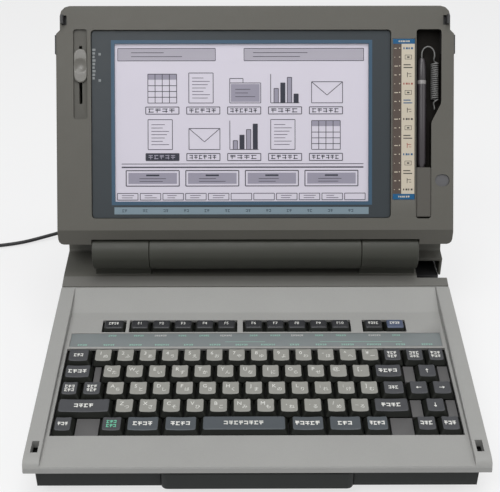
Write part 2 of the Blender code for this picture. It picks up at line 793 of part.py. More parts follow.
post_inset = 10 * MM
posts("board_posts",
      [(sign * (board_half - post_inset), from_front(reach))
       for sign in (-1, 1) for reach in (board_start + post_inset, board_end - post_inset)],
      board_low)
posts("supply_posts",
      [(x, from_front(reach)) for x in (supply_left + post_inset, supply_right - post_inset)
       for reach in (supply_start + post_inset, supply_end - post_inset)], supply_low)
board = piece("circuit_board",
              block((-board_half, from_front(board_start), board_low),
                    (board_half, from_front(board_end), board_low + board_thickness)),
              (0.02, 0.12, 0.05), 0.5)
chip_height = 3 * MM
chip_side = 22 * MM
chip_shares = (-0.7, -0.3, 0.1, 0.5)
for index, share in enumerate(chip_shares):
    middle = board_half * share
    row = from_front(board_start + chip_side)
    join(board, f"chip_{index}",
         block((middle, row, board_low + board_thickness / 2),
               (middle + chip_side, row + chip_side, board_low + board_thickness + chip_height)))
power_supply = piece("power_supply",
                     block((supply_left, from_front(supply_start), supply_low),
                           (supply_right, from_front(supply_end), supply_high), wall / 2, 1),
                     steel_grey, 0.4, 1.0)

# Printer: a folded steel chassis with a rod, a platen, a carriage and its ribbon
chassis_half = 146 * MM
chassis_sheet = 2 * MM
chassis_low = 60 * MM
chassis_high = 96 * MM
chassis_start = 266 * MM
chassis_end = 328 * MM
platen_reach = 310 * MM
platen_height = 82 * MM
platen_radius = 9 * MM
platen_half = 120 * MM
shaft_radius = 3 * MM
shaft_half = 151 * MM
knob_radius = 10 * MM
knob_length = 9 * MM
rod_reach = 281 * MM
rod_height = 72 * MM
rod_radius = 3 * MM
chassis = piece("printer_chassis",
                block((-chassis_half, from_front(chassis_start), chassis_low),
                      (chassis_half, from_front(chassis_end), chassis_high)),
                steel_grey, 0.35, 1.0)
cut(chassis, "chassis_hollow",
    block((-chassis_half + chassis_sheet, from_front(chassis_start) - overrun,
           chassis_low + chassis_sheet),
          (chassis_half - chassis_sheet, from_front(chassis_end) + overrun,
           chassis_high + overrun)))
platen_y = from_front(platen_reach)
rod_y = from_front(rod_reach)
chassis_post_y = (drive_back + post_inset, from_front(chassis_end) - post_inset)
posts("chassis_posts", [(x, y) for x in (supply_right + 2 * post_inset,
                                         chassis_half - 2 * post_inset)
                        for y in chassis_post_y], chassis_low)
cut(chassis, "shaft_bores",
    rod(shaft_radius + running_gap, -chassis_half - overrun, chassis_half + overrun, "X",
        (0, platen_y, platen_height), 20))
cut(chassis, "rod_bores",
    rod(rod_radius + gap, -chassis_half - overrun, chassis_half + overrun, "X",
        (0, rod_y, rod_height), 20))
platen = piece("platen_roller", rod(platen_radius, -platen_half, platen_half, "X",
                                    (0, 0, 0), 20),
               black, 0.8, place=(0, platen_y, platen_height))
join(platen, "platen_shaft",
     rod(shaft_radius, -shaft_half, shaft_half, "X", (0, 0, 0), 20),
     (0, platen_y, platen_height))
knob_start = chassis_half - knob_length - chassis_sheet - running_gap
knob = piece("platen_knob", rod(knob_radius, knob_start, knob_start + knob_length, "X",
                                (0, 0, 0), 20),
             black, 0.6, place=(0, platen_y, platen_height))
cut(knob, "knob_bore", rod(shaft_radius + gap, knob_start - overrun,
                           knob_start + knob_length + overrun, "X", (0, 0, 0), 20),
    (0, platen_y, platen_height))
piece("carriage_rod", rod(rod_radius, -chassis_half, chassis_half, "X", (0, 0, 0), 20),
      steel_grey, 0.25, 1.0, place=(0, rod_y, rod_height))
carriage_half = 20 * MM
carriage_front = 9 * MM
carriage_back = 11 * MM
carriage_drop = 6 * MM
carriage_rise = 14 * MM
carriage = piece("print_carriage",
                 block((-carriage_half, -carriage_front, -carriage_drop),
                       (carriage_half, carriage_back, carriage_rise), wall / 2, 1),
                 dark_grey, 0.5, place=(0, rod_y, rod_height))
cut(carriage, "carriage_bore",
    rod(rod_radius + running_gap, -carriage_half - overrun, carriage_half + overrun, "X",
        (0, 0, 0), 20), (0, rod_y, rod_height))
ribbon_half = 34 * MM
ribbon_height = 8 * MM
ribbon = piece("ribbon_cassette",
               block((-ribbon_half, -carriage_front, carriage_rise + gap),
                     (ribbon_half, carriage_back, carriage_rise + gap + ribbon_height),
                     wall / 2, 1),
               black, 0.4, place=(0, rod_y, rod_height))

# Printer cover: a hinged flap in the roof with two arms, and a paper guide between
# them, set back from the flap so that a slot is left for the paper
cover_thickness = 2.2 * MM
hinge_round = cover_thickness / 2
cover_half = bay_half - running_gap
cover_length = bay_end - bay_start - 2 * running_gap - hinge_round
cover_frame = axis_frame("cover_hinge", (0, from_front(bay_end) - running_gap - hinge_round,
                                         rear_height - hinge_round))
slot_half = 118 * MM
paper_slot_depth = 7 * MM
paper_slot_back = 15 * MM
cover_bm = block((-cover_half, -cover_length, -hinge_round), (cover_half, 0, hinge_round))
printer_cover = piece("printer_cover", cover_bm, lid_grey, 0.6, frame=cover_frame)
join(printer_cover, "cover_hinge_round",
     rod(hinge_round, -cover_half, cover_half, "X", (0, 0, 0), 12))
cut(printer_cover, "paper_slot",
    block((-slot_half, -paper_slot_back - paper_slot_depth, -overrun),
          (slot_half, overrun, overrun)))
grip_half = 16 * MM
cover_grip_depth = 5 * MM
cut(printer_cover, "cover_grip",
    rod(grip_half, 0, 2 * overrun, "Z", (0, cover_grip_depth - cover_length - grip_half, 0), 32))
paper_guide = piece("paper_guide",
                    block((gap - slot_half, -paper_slot_back, -hinge_round),
                          (slot_half - gap, 0, hinge_round)), lid_grey, 0.6, frame=cover_frame)
join(paper_guide, "guide_hinge_round",
     rod(hinge_round, gap - slot_half, slot_half - gap, "X", (0, 0, 0), 12))

# Lid shell: the back half of the lid, a tray with rounded corners
lid_top = lid_foot + lid_length
lid_half = half_width
shoulder = lid_top - lid_narrow_length


def lid_outline(inset):
    """The lid seen from the front, drawn in a little over its last stretch."""
    half, narrow = lid_half - inset, lid_half - lid_narrowing - inset
    low, high = lid_foot + inset, lid_top - inset
    corners = [(half, low, lid_corner / 2), (half, shoulder, 0),
               (narrow, shoulder + lid_narrowing, 0), (narrow, high, lid_corner)]
    return rounded(corners + [(-x, z, r) for x, z, r in corners[::-1]])


bm = slab(lid_outline(0), lid_split + gap, lid_back, "XZ")
back_edges = [e for e in bm.edges if all(v.co.y > lid_back - gap for v in e.verts)]
bmesh.ops.bevel(bm, geom=back_edges, offset=edge_round, segments=2, profile=0.5,
                affect="EDGES", material=-1)
lid_shell = piece("lid_shell", bm, lid_grey, 0.6, frame=lid_frame)
cut(lid_shell, "shell_hollow",
    slab(lid_outline(wall), lid_split - overrun, lid_back - wall, "XZ"))
notch_radius = barrel_radius + running_gap
notch_half = knuckle_half + running_gap
cut(lid_shell, "barrel_room",
    rod(notch_radius, -notch_half, notch_half, "X", (0, 0, 0), 32), solver="MANIFOLD")

# Lid bezel: the front half of the lid, with the window, the pen's bay and the scoops
window_left = -147.7 * MM
window_right = 122.3 * MM
window_low = 23.7 * MM
window_high_down = 21.5 * MM
window_high = lid_length - window_high_down
window_recess = 2.5 * MM
window_thickness = 1.8 * MM
screen_left = -126.7 * MM
screen_right = 102.3 * MM
screen_low = 39 * MM
screen_high_down = 33.5 * MM
screen_high = lid_length - screen_high_down
screen_margin = 4 * MM
panel_thickness = 4 * MM
light_thickness = 6 * MM
window_corner = 3 * MM


def along(share_length):
    """Height above the hinge axis of a place measured from the lid's lower edge."""
    return lid_foot + share_length


bm = slab(lid_outline(0), lid_face, lid_split, "XZ")
front_edges = [e for e in bm.edges if all(v.co.y < lid_face + gap for v in e.verts)]
bmesh.ops.bevel(bm, geom=front_edges, offset=edge_round / 2, segments=2, profile=0.5,
                affect="EDGES", material=-1)
lid_bezel = piece("lid_bezel", bm, lid_grey, 0.6, frame=lid_frame)


def bezel_cut(name, bm):
    """A recess or an opening in the bezel; the manifold solver keeps its thin corners."""
    cut(lid_bezel, name, bm, solver="MANIFOLD")


chamfer_top = (lid_face, along(lid_chamfer))
chamfer_foot = (lid_face + lid_chamfer_depth, lid_foot)
reach_on_share = 0.3
beyond = [(chamfer_top[i] - chamfer_foot[i]) * reach_on_share for i in range(2)]
wedge = [(chamfer_top[0] + beyond[0], chamfer_top[1] + beyond[1]),
         (chamfer_foot[0] - beyond[0], chamfer_foot[1] - beyond[1]),
         (lid_face * 2, lid_foot - lid_chamfer)]
bezel_cut("bezel_chamfer", slab(wedge, -width, width, "YZ"))
bezel_cut("bezel_barrel_room",
    rod(notch_radius, -notch_half, notch_half, "X", (0, 0, 0), 32))
feather_share = 0.35
feather = lid_chamfer * feather_share
bezel_cut("bezel_trim",
    block((-notch_half, lid_face - overrun, 0), (notch_half, lid_back, along(feather))))
bezel_cut("window_bed",
    slab(rectangle(window_left, window_right, along(window_low), along(window_high),
                   window_corner),
         lid_face - overrun, lid_face + window_recess + window_thickness + gap, "XZ"))
bezel_cut("screen_opening",
    block((screen_left - screen_margin, lid_face, along(screen_low - screen_margin)),
          (screen_right + screen_margin, lid_split + overrun,
           along(screen_high + screen_margin))))
window_front = lid_face + window_recess
screen_window = piece("screen_window",
                      slab(rectangle(window_left + gap, window_right - gap,
                                     along(window_low + gap), along(window_high - gap),
                                     window_corner - gap),
                           window_front, window_front + window_thickness, "XZ"),
                      (0.035, 0.055, 0.075), 0.25, frame=lid_frame)
cut(screen_window, "view_opening",
    block((screen_left, window_front - overrun, along(screen_low)),
          (screen_right, window_front + overrun, along(screen_high))))
panel_front = window_front + window_thickness + gap
panel_back = panel_front + panel_thickness
piece("lcd_panel",
      block((screen_left - screen_margin + gap, panel_front,
             along(screen_low - screen_margin + gap)),
            (screen_right + screen_margin - gap, panel_back,
             along(screen_high + screen_margin - gap))),
      (0.66, 0.62, 0.70), 0.3, frame=lid_frame)
piece("lcd_backlight",
      block((screen_left, panel_back + gap, along(screen_low)),
            (screen_right, panel_back + gap + light_thickness, along(screen_high))),
      (0.75, 0.75, 0.75), 0.5, frame=lid_frame)

# Menu strip between the window and the pen
strip_left = 123.6 * MM
strip_right = 143.8 * MM
strip_low = 40 * MM
strip_high_down = 29.5 * MM
strip_high = lid_length - strip_high_down
strip_depth = 1.2 * MM
strip_thickness = 0.8 * MM
bezel_cut("strip_bed",
    block((strip_left, lid_face - overrun, along(strip_low)),
          (strip_right, lid_face + strip_depth, along(strip_high))))
piece("menu_strip",
      block((strip_left + gap, lid_face + strip_depth - gap - strip_thickness,
             along(strip_low + gap)),
            (strip_right - gap, lid_face + strip_depth - gap, along(strip_high - gap))),
      (0.62, 0.58, 0.47), 0.4, frame=lid_frame)

# Pen bay, wider above than below, with the holder that the pen's tip stands in
bay_left = 145 * MM
bay_right_low = 158.6 * MM
bay_right_high = 167.5 * MM
bay_low = 23.3 * MM
bay_curve_low_down = 104.5 * MM
bay_curve_low = lid_length - bay_curve_low_down
bay_curve_high_down = 87.5 * MM
bay_curve_high = lid_length - bay_curve_high_down
bay_high_down = 21.3 * MM
bay_high = lid_length - bay_high_down
pen_x = 150.6 * MM
pen_low = 52 * MM
pen_high_down = 46.5 * MM
pen_high = lid_length - pen_high_down
pen_tip_radius = 2.8 * MM
pen_tip_length = 19 * MM
pen_cap_length = 22 * MM
holder_low = 24.6 * MM
holder_high = 69.3 * MM
holder_proud = 0.8 * MM
bay_outline = rounded([(bay_left, along(bay_low), wall), (bay_right_low, along(bay_low), wall),
                       (bay_right_low, along(bay_curve_low), lid_corner),
                       (bay_right_high, along(bay_curve_high), lid_corner),
                       (bay_right_high, along(bay_high), wall),
                       (bay_left, along(bay_high), wall)], 4)
bezel_cut("pen_bay",
    slab(bay_outline, lid_face - overrun, lid_face + pen_bay_depth, "XZ"))
pen_y = lid_face + pen_depth
holder = piece("pen_holder",
               block((bay_left + gap, lid_face - holder_proud, along(holder_low)),
                     (bay_right_low - gap, lid_face + pen_bay_depth - gap,
                      along(holder_high)), wall / 3, 1),
               dark_grey, 0.5, frame=lid_frame)
cut(holder, "holder_bore",
    rod(pen_tip_radius + running_gap, along(pen_low) - wall, along(holder_high) + overrun,
        "Z", (pen_x, pen_y, 0), 16))
pen_length = pen_high - pen_low
tip_share = 0.35
cap_end_share = 0.55
cap_edge_share = 0.7
pen_profile = [(0, pen_length), (pen_radius * cap_end_share, pen_length),
               (pen_radius * cap_edge_share, pen_length - wall / 2),
               (pen_radius, pen_length - pen_cap_length), (pen_radius, pen_tip_length + wall),
               (pen_tip_radius, pen_tip_length), (pen_tip_radius, wall * 2),
               (pen_tip_radius * tip_share, 0), (0, 0)]
piece("pen", turned(pen_profile, 20), (0.10, 0.09, 0.10), 0.35, frame=lid_frame,
      place=(pen_x, pen_y, along(pen_low)))

# Curly cord of the pen: down the bay in curls, then up and over into the pen's end
curl_radius = 3.1 * MM
curl_wire = 0.65 * MM
curl_pitch = 1.9 * MM
curl_count = 18
curl_x = 162.2 * MM
curl_top_down = 50.5 * MM
curl_top = lid_length - curl_top_down
curl_points = 8
tail_drop = 8 * MM
curl_step = curl_pitch / curl_points
curl_back_room = 0.75 * MM
curl_y = lid_face + pen_bay_depth - curl_back_room - curl_wire - curl_radius


def curly_route():
    """Points of the pen's cord, from the foot of the bay up to the pen."""
    foot = curl_top - curl_count * curl_pitch
    points = [(curl_x, curl_y, foot - tail_drop), (curl_x, curl_y, foot - tail_drop / 2)]
    for index in range(curl_count * curl_points + 1):
        angle = 2 * math.pi * index / curl_points
        ease = min(1.0, index / curl_points, (curl_count * curl_points - index) / curl_points)
        radius = curl_radius * math.sin(ease * math.pi / 2)
        points.append((curl_x + radius * math.cos(angle), curl_y + radius * math.sin(angle),
                       foot + index * curl_step))
    return points


def least_gap(points, wire, near):
    """Least distance between the tube's own turns that aren't next to each other."""
    least = near
    for first in range(len(points)):
        for second in range(first + near_steps, len(points)):
            span = math.dist(points[first], points[second]) - 2 * wire
            least = min(least, span)
    return least


near_steps = 5
route = [(x, y, along(z)) for x, y, z in curly_route()]
print("curly cord least gap, mm:", round(least_gap(route[2:], curl_wire, lid_length) / MM, 2))


def tube(name, points, radius, colour, frame=None, roundness=2, roughness=0.6):
    """A cord: a curve of straight steps with a round section and closed ends."""
    curve = bpy.data.curves.new(name, "CURVE")
    curve.dimensions = "3D"
    curve.bevel_depth = radius
    curve.bevel_resolution = roundness
    curve.use_fill_caps = True
    spline = curve.splines.new("POLY")
    spline.points.add(len(points) - 1)
    for point, place in zip(spline.points, points):
        point.co = (*place, 1)
    item = bpy.data.objects.new(name, curve)
    item.parent = frame
    parts.objects.link(item)
    curve.materials.append(finish(name, colour, roughness))
    return item


tube("pen_cord", route, curl_wire, (0.06, 0.06, 0.065), lid_frame, 1)

# Contrast slider in a scoop to the left of the window
scoop_left = -163.4 * MM
scoop_right = -150.9 * MM
scoop_low_down = 101.5 * MM
scoop_low = lid_length - scoop_low_down
scoop_high_down = 20.9 * MM
scoop_high = lid_length - scoop_high_down
scoop_depth = 2.2 * MM
slit_half = 1.4 * MM
slit_low_down = 87.5 * MM
slit_low = lid_length - slit_low_down
slit_high_down = 35.5 * MM
slit_high = lid_length - slit_high_down
knob_middle_down = 53.5 * MM
knob_middle = lid_length - knob_middle_down
slider_half_length = 15 * MM
slider_stem_half = 3 * MM
dish_radius = 17.6 * MM
dish_depth = 1.1 * MM
scoop_x = (scoop_left + scoop_right) / 2
bezel_cut("slider_scoop",
    slab(rectangle(scoop_left, scoop_right, along(scoop_low), along(scoop_high), wall),
         lid_face - overrun, lid_face + scoop_depth, "XZ"))
bezel_cut("slider_slit",
    block((scoop_x - slit_half, lid_face, along(slit_low)),
          (scoop_x + slit_half, lid_split + overrun, along(slit_high))))
slider_half = (scoop_right - scoop_left) / 2 - running_gap
slider = piece("contrast_slider",
               block((-slider_half, lid_face, -slider_half_length),
                     (slider_half, lid_face + scoop_depth - gap, slider_half_length),
                     gap * 2, 1),
               dark_grey, 0.5, frame=lid_frame, place=(scoop_x, 0, along(knob_middle)))
join(slider, "slider_stem",
     block((-slit_half + gap, lid_face + scoop_depth / 2, -slider_stem_half),
           (slit_half - gap, lid_split, slider_stem_half)), (scoop_x, 0, along(knob_middle)))
cut(slider, "slider_dish",
    rod(dish_radius, -slider_half * 2, slider_half * 2, "X",
        (0, lid_face + dish_depth - dish_radius, 0), 40), (scoop_x, 0, along(knob_middle)))

# Shallow oval scoop by the pen's foot
oval_x = 168.6 * MM
oval_height = 57.6 * MM
oval_half_wide = 6.6 * MM
oval_half_tall = 5.5 * MM
oval = rectangle(oval_x - oval_half_wide, oval_x + oval_half_wide,
                 along(oval_height) - oval_half_tall, along(oval_height) + oval_half_tall,
                 oval_half_tall)
bezel_cut("oval_scoop", slab(oval, lid_face - overrun, lid_face + wall / 2, "XZ"))

# Lid latches: a side button and a hook on one slide, pressed inwards to let go
button_low_down = 42.5 * MM
button_low = lid_length - button_low_down
button_high_down = 25.5 * MM
button_high = lid_length - button_high_down
button_proud = 1.5 * MM
latch_front = lid_face + 3.2 * MM
latch_back = lid_split - 1.2 * MM
hook_low_down = 17 * MM
hook_low = lid_length - hook_low_down
hook_high_down = 9 * MM
hook_high = lid_length - hook_high_down
hook_reach = 6 * MM
hook_thickness = 2.2 * MM
slide_inner = 168 * MM
slide_outer = 174 * MM
for sign, side in ((-1, "left"), (1, "right")):
    def across(near, far):
        return sorted((sign * near, sign * far))

    pocket = across(slide_inner - latch_travel - gap, slide_outer + gap)
    bezel_cut(f"latch_pocket_{side}",
        block((pocket[0], latch_front - gap, along(button_low) - gap),
              (pocket[1], latch_back + gap, along(hook_high) + gap)))
    mouth = across(slide_outer - wall, half_width + overrun)
    bezel_cut(f"latch_window_{side}",
        block((mouth[0], latch_front - gap, along(button_low) - gap),
              (mouth[1], latch_back + gap, along(button_high) + gap)))
    throat = across(latch_x - hook_thickness / 2 - latch_travel - gap,
                    latch_x + hook_thickness / 2 + gap)
    bezel_cut(f"latch_throat_{side}",
        block((throat[0], lid_face - overrun, along(hook_low) - gap),
              (throat[1], latch_front + gap, along(hook_high) + gap)))
    edges = across(slide_inner, slide_outer)
    latch = piece(f"latch_{side}",
                  block((edges[0], latch_front, along(button_low)),
                        (edges[1], latch_back, along(hook_high))), dark_grey, 0.5,
                  frame=lid_frame)
    button = across(slide_outer - wall, half_width + button_proud)
    join(latch, f"latch_button_{side}",
         block((button[0], latch_front, along(button_low)),
               (button[1], latch_back, along(button_high))))
    hook = across(latch_x - hook_thickness / 2, latch_x + hook_thickness / 2)
    join(latch, f"latch_hook_{side}",
         block((hook[0], lid_face - hook_reach, along(hook_low)),
               (hook[1], latch_front + gap * 2, along(hook_high))))

# Hinge barrel between the knuckles, which turns with the lid
barrel = piece("hinge_barrel",
               rod(barrel_radius, -neck_half + running_gap / 2, neck_half - running_gap / 2,
                   "X", (0, 0, 0), 32), lid_grey, 0.6, frame=lid_frame)
cut(barrel, "barrel_bores",
    mirrored_blocks((neck_half - pin_reach - gap, -pin_radius - gap, -pin_radius - gap),
                    (neck_half + overrun, pin_radius + gap, pin_radius + gap)))

# Power lead: a socket in the bottom case, a plug with a strain relief, the free
# stretch, the coil that the rest is put away in, and the mains plug
inlet_x = -150 * MM
inlet_height = 20 * MM
inlet_half = 11 * MM
inlet_rise = 7.5 * MM
inlet_depth = 14 * MM
connector_half = 8.5 * MM
connector_rise = 5.5 * MM
connector_length = 14 * MM
relief_length = 24 * MM
relief_radius = 4 * MM
lead_radius = 2 * MM
cut(bottom_case, "inlet_hole",
    block((inlet_x - inlet_half - gap, case_back - inlet_depth - gap,
           inlet_height - inlet_rise - gap),
          (inlet_x + inlet_half + gap, case_back + overrun, inlet_height + inlet_rise + gap)))
inlet = piece("power_inlet",
              block((inlet_x - inlet_half, case_back - inlet_depth,
                     inlet_height - inlet_rise),
                    (inlet_x + inlet_half, case_back + gap, inlet_height + inlet_rise)),
              black, 0.5)
cut(inlet, "inlet_socket",
    block((inlet_x - connector_half - gap, case_back - inlet_depth / 2,
           inlet_height - connector_rise - gap),
          (inlet_x + connector_half + gap, case_back + overrun,
           inlet_height + connector_rise + gap)))
connector = piece("lead_connector",
                  block((inlet_x - connector_half, case_back - inlet_depth / 2 + gap,
                         inlet_height - connector_rise),
                        (inlet_x + connector_half, case_back + connector_length,
                         inlet_height + connector_rise), wall / 2, 1), black, 0.6)
join(connector, "strain_relief",
     rod(relief_radius, -wall, relief_length, "Y",
         (inlet_x, case_back + connector_length, inlet_height), 16, lead_radius + gap))

# The route's own points: out of the relief, down in a wide bend to the table, then left
lead_knots = (
    (-150.0 * MM, 207.3 * MM, 20.0 * MM), (-150.0 * MM, 211.8 * MM, 20.0 * MM),
    (-151.5 * MM, 220.6 * MM, 18.6 * MM), (-157.5 * MM, 228.8 * MM, 15.6 * MM),
    (-169.0 * MM, 232.5 * MM, 12.6 * MM), (-184.0 * MM, 231.0 * MM, 10.4 * MM),
    (-206.0 * MM, 225.0 * MM, 8.0 * MM), (-232.0 * MM, 215.0 * MM, 5.4 * MM),
    (-258.0 * MM, 204.5 * MM, 3.6 * MM), (-284.0 * MM, 198.0 * MM, 3.0 * MM),
    (-306.0 * MM, 196.2 * MM, 3.0 * MM), (-318.0 * MM, 196.0 * MM, 3.0 * MM),
    (-323.0 * MM, 196.0 * MM, 3.0 * MM))
knot_steps = 4


def smooth(knots, steps):
    """A smooth curve through the knots, read at even steps between them."""
    ends = [tuple(2 * a - b for a, b in zip(knots[0], knots[1]))]
    ends += list(knots)
    ends += [tuple(2 * a - b for a, b in zip(knots[-1], knots[-2]))]
    points = []
    for index in range(1, len(ends) - 2):
        p0, p1, p2, p3 = (Vector(ends[index + k]) for k in (-1, 0, 1, 2))
        for step in range(steps):
            t = step / steps
            points.append(tuple(0.5 * (2 * p1 + (p2 - p0) * t
                                       + (2 * p0 - 5 * p1 + 4 * p2 - p3) * t * t
                                       + (3 * p1 - p0 - 3 * p2 + p3) * t ** 3)))
    points.append(tuple(knots[-1]))
    return points


lead_points = smooth(lead_knots, knot_steps)
tube("power_lead", lead_points, lead_radius, black, None, 2)
stretch = sum(math.dist(a, b) for a, b in zip(lead_points, lead_points[1:]))

# Coil: four layers of loops, spiralling in and out again
coil_pitch = 4.7 * MM
coil_outer = 28 * MM
coil_turns = 2.75
coil_layers = 4
loop_points = 20
tail_bend = 17 * MM
coil_x = lead_knots[-1][0] - gap - 2 * lead_radius
coil_y = lead_knots[-1][1] - coil_outer
coil_base = lead_knots[-1][2]
entry = 2 * lead_radius


def coil_route():
    """Loops that spiral in and out again, a layer higher at each reversal."""
    points = [(coil_x + entry, coil_y + coil_outer, coil_base)]
    steps = round(coil_turns * loop_points)
    climb = loop_points // 4
    rise_steps = loop_points // 3
    for count in range(coil_layers * steps + rise_steps + 1):
        layer, step = divmod(count, steps)
        if layer < coil_layers:
            share = step / steps
            inward = share if layer % 2 == 0 else 1 - share
            radius = coil_outer - inward * coil_turns * coil_pitch
            before = min(0.0, (step - climb) / (2 * climb)) if layer > 0 else 0.0
            after = max(0.0, (step - (steps - climb)) / (2 * climb))
            lift = layer + before + (after if layer < coil_layers - 1 else 0.0)
        else:
            lift = layer - 1 + min(1.0, step / rise_steps)
            radius = coil_outer
        angle = math.pi / 2 + 2 * math.pi * count / loop_points
        points.append((coil_x + radius * math.cos(angle), coil_y + radius * math.sin(angle),
                       coil_base + lift * coil_pitch))
    bend_x = coil_x + (coil_outer - tail_bend) * math.cos(angle)
    bend_y = coil_y + (coil_outer - tail_bend) * math.sin(angle)
    for step in range(1, loop_points // 4 + 1):
        turn = angle + 2 * math.pi * step / loop_points
        points.append((bend_x + tail_bend * math.cos(turn), bend_y + tail_bend * math.sin(turn),
                       coil_base + lift * coil_pitch))
    end, before_end = Vector(points[-1]), Vector(points[-2])
    along_end = (end - before_end).normalized()
    points.append(tuple(end + along_end * 2 * lead_radius))
    return points, along_end


coil_points, plug_way = coil_route()
near_steps = loop_points // 2
print("coil least gap, mm:", round(least_gap(coil_points, lead_radius, width) / MM, 2))
wound = sum(math.dist(a, b) for a, b in zip(coil_points, coil_points[1:]))
print("lead length, m:", round(stretch + wound, 3))
tube("lead_coil", coil_points, lead_radius, black, None, 1)

# Mains plug: two flat blades, lying across the top of the coil
plug_length = 24 * MM
plug_half = 9 * MM
plug_rise = 5.5 * MM
blade_length = 17 * MM
blade_half = 3 * MM
blade_thickness = 1.5 * MM
blade_spread = 6.35 * MM
plug_start = Vector(coil_points[-1]) + plug_way * gap
plug = piece("lead_plug", block((0, -plug_half, -plug_rise), (plug_length, plug_half, plug_rise),
                                wall, 2), black, 0.5)
blades = bmesh.new()
for sign in (-1, 1):
    middle = sign * blade_spread
    merge(blades, block((plug_length - wall, middle - blade_thickness / 2, -blade_half),
                        (plug_length + blade_length, middle + blade_thickness / 2, blade_half)))
blade_tool = join(plug, "plug_blades", blades)
for item in (plug, blade_tool):
    item.location = plug_start + Vector((0, 0, plug_rise - lead_radius))
    item.rotation_euler = (0, 0, math.atan2(plug_way.y, plug_way.x))
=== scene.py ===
import math

import bmesh
import bpy
from mathutils import Matrix, Vector


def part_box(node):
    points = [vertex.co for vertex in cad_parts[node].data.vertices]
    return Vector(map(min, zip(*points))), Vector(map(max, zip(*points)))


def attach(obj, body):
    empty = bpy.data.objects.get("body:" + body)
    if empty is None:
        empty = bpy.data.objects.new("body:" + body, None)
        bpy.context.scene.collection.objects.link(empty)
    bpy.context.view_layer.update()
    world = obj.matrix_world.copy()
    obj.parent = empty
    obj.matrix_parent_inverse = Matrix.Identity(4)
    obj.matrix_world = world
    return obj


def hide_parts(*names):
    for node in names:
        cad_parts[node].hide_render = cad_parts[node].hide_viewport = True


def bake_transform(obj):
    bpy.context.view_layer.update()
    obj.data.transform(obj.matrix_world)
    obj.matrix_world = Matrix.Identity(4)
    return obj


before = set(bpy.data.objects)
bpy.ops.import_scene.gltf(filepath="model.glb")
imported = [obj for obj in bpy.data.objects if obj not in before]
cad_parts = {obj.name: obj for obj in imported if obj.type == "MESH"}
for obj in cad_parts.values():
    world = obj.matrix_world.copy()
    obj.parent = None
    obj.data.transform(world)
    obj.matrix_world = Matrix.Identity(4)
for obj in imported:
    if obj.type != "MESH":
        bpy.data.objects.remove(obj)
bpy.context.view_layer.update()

# Lengths are in metres. The sizes of the machine are written in millimetres.
MM = 0.001
weld_gap = 0.01 * MM


def mm(*values):
    return tuple(value * MM for value in values)


def add_object(name, data):
    item = bpy.data.objects.new(name, data)
    bpy.context.scene.collection.objects.link(item)
    return item


# Camera: the photograph looks down on the machine from the front, on its middle.
# Sensor and lens give the photograph's field of view at 500 by 492.
camera_data = bpy.data.cameras.new("camera")
camera_data.sensor_width = 36
camera_data.lens = 66.66
camera_data.clip_start = 10 * MM
camera = add_object("camera", camera_data)
camera.location = mm(-7.53, -677.47, 559.79)
camera.rotation_euler = (math.radians(57.48), 0, math.radians(-0.208))
bpy.context.scene.camera = camera
bpy.context.scene.view_settings.view_transform = "Standard"

# Studio: soft lamps above, a pale world, and a floor that goes over to white
lamp_aim = Vector((0, 0, 0.1))
WHITE = (1, 1, 1, 1)


def lamp(name, place, size, power):
    """A square soft box that points at the machine."""
    data = bpy.data.lights.new(name, "AREA")
    data.shape = "SQUARE"
    data.size = size
    data.energy = power
    item = add_object(name, data)
    item.location = place
    item.rotation_euler = (lamp_aim - Vector(place)).to_track_quat("-Z", "Y").to_euler()


lamp("lamp_key", (-0.5, -0.9, 1.5), 0.7, 9)
lamp("lamp_fill", (1.0, -0.6, 1.1), 0.8, 3)
lamp("lamp_top", (0.1, -0.2, 1.9), 0.8, 13)


def node(tree, kind, **values):
    """A new shader node with these values in its inputs."""
    made = tree.nodes.new("ShaderNode" + kind)
    for name, value in values.items():
        made.inputs[name].default_value = value
    return made


def wire(tree, source, target, out=0, into=0):
    tree.links.new(source.outputs[out], target.inputs[into])


def clear_white(tree, shader, share, white_kind, output_name):
    """Mixes plain white in where the camera, gloss or glass looks straight at it."""
    rays, mix = node(tree, "LightPath"), node(tree, "MixShader")
    seen, also, part = (node(tree, "Math") for _ in range(3))
    seen.operation = also.operation = "ADD"
    part.operation = "MULTIPLY"
    part.use_clamp = True
    part.inputs[1].default_value = share
    wire(tree, rays, seen, "Is Camera Ray", 0)
    wire(tree, rays, seen, "Is Glossy Ray", 1)
    wire(tree, seen, also)
    wire(tree, rays, also, "Is Transmission Ray", 1)
    wire(tree, also, part)
    wire(tree, part, mix)
    wire(tree, shader, mix, 0, 1)
    wire(tree, node(tree, white_kind, Color=WHITE, Strength=1), mix, 0, 2)
    wire(tree, mix, tree.nodes[output_name], 0, "Surface")


world = bpy.data.worlds.new("studio")
world.use_nodes = True
bpy.context.scene.world = world
sky = world.node_tree.nodes["Background"]
sky.inputs["Color"].default_value = (0.97, 0.98, 1.0, 1)
sky.inputs["Strength"].default_value = 0.28
clear_white(world.node_tree, sky, 1.0, "Background", "World Output")

floor_bm = bmesh.new()
bmesh.ops.create_grid(floor_bm, x_segments=2, y_segments=2, size=4)
floor_mesh = bpy.data.meshes.new("floor")
floor_bm.to_mesh(floor_mesh)
floor_bm.free()
floor = add_object("floor", floor_mesh)
floor_material = bpy.data.materials.new("floor_paper")
floor_material.use_nodes = True
floor_shader = floor_material.node_tree.nodes["Principled BSDF"]
floor_shader.inputs["Base Color"].default_value = (0.86, 0.86, 0.87, 1)
floor_shader.inputs["Roughness"].default_value = 0.8
clear_white(floor_material.node_tree, floor_shader, 0.7, "Emission", "Material Output")
floor_mesh.materials.append(floor_material)

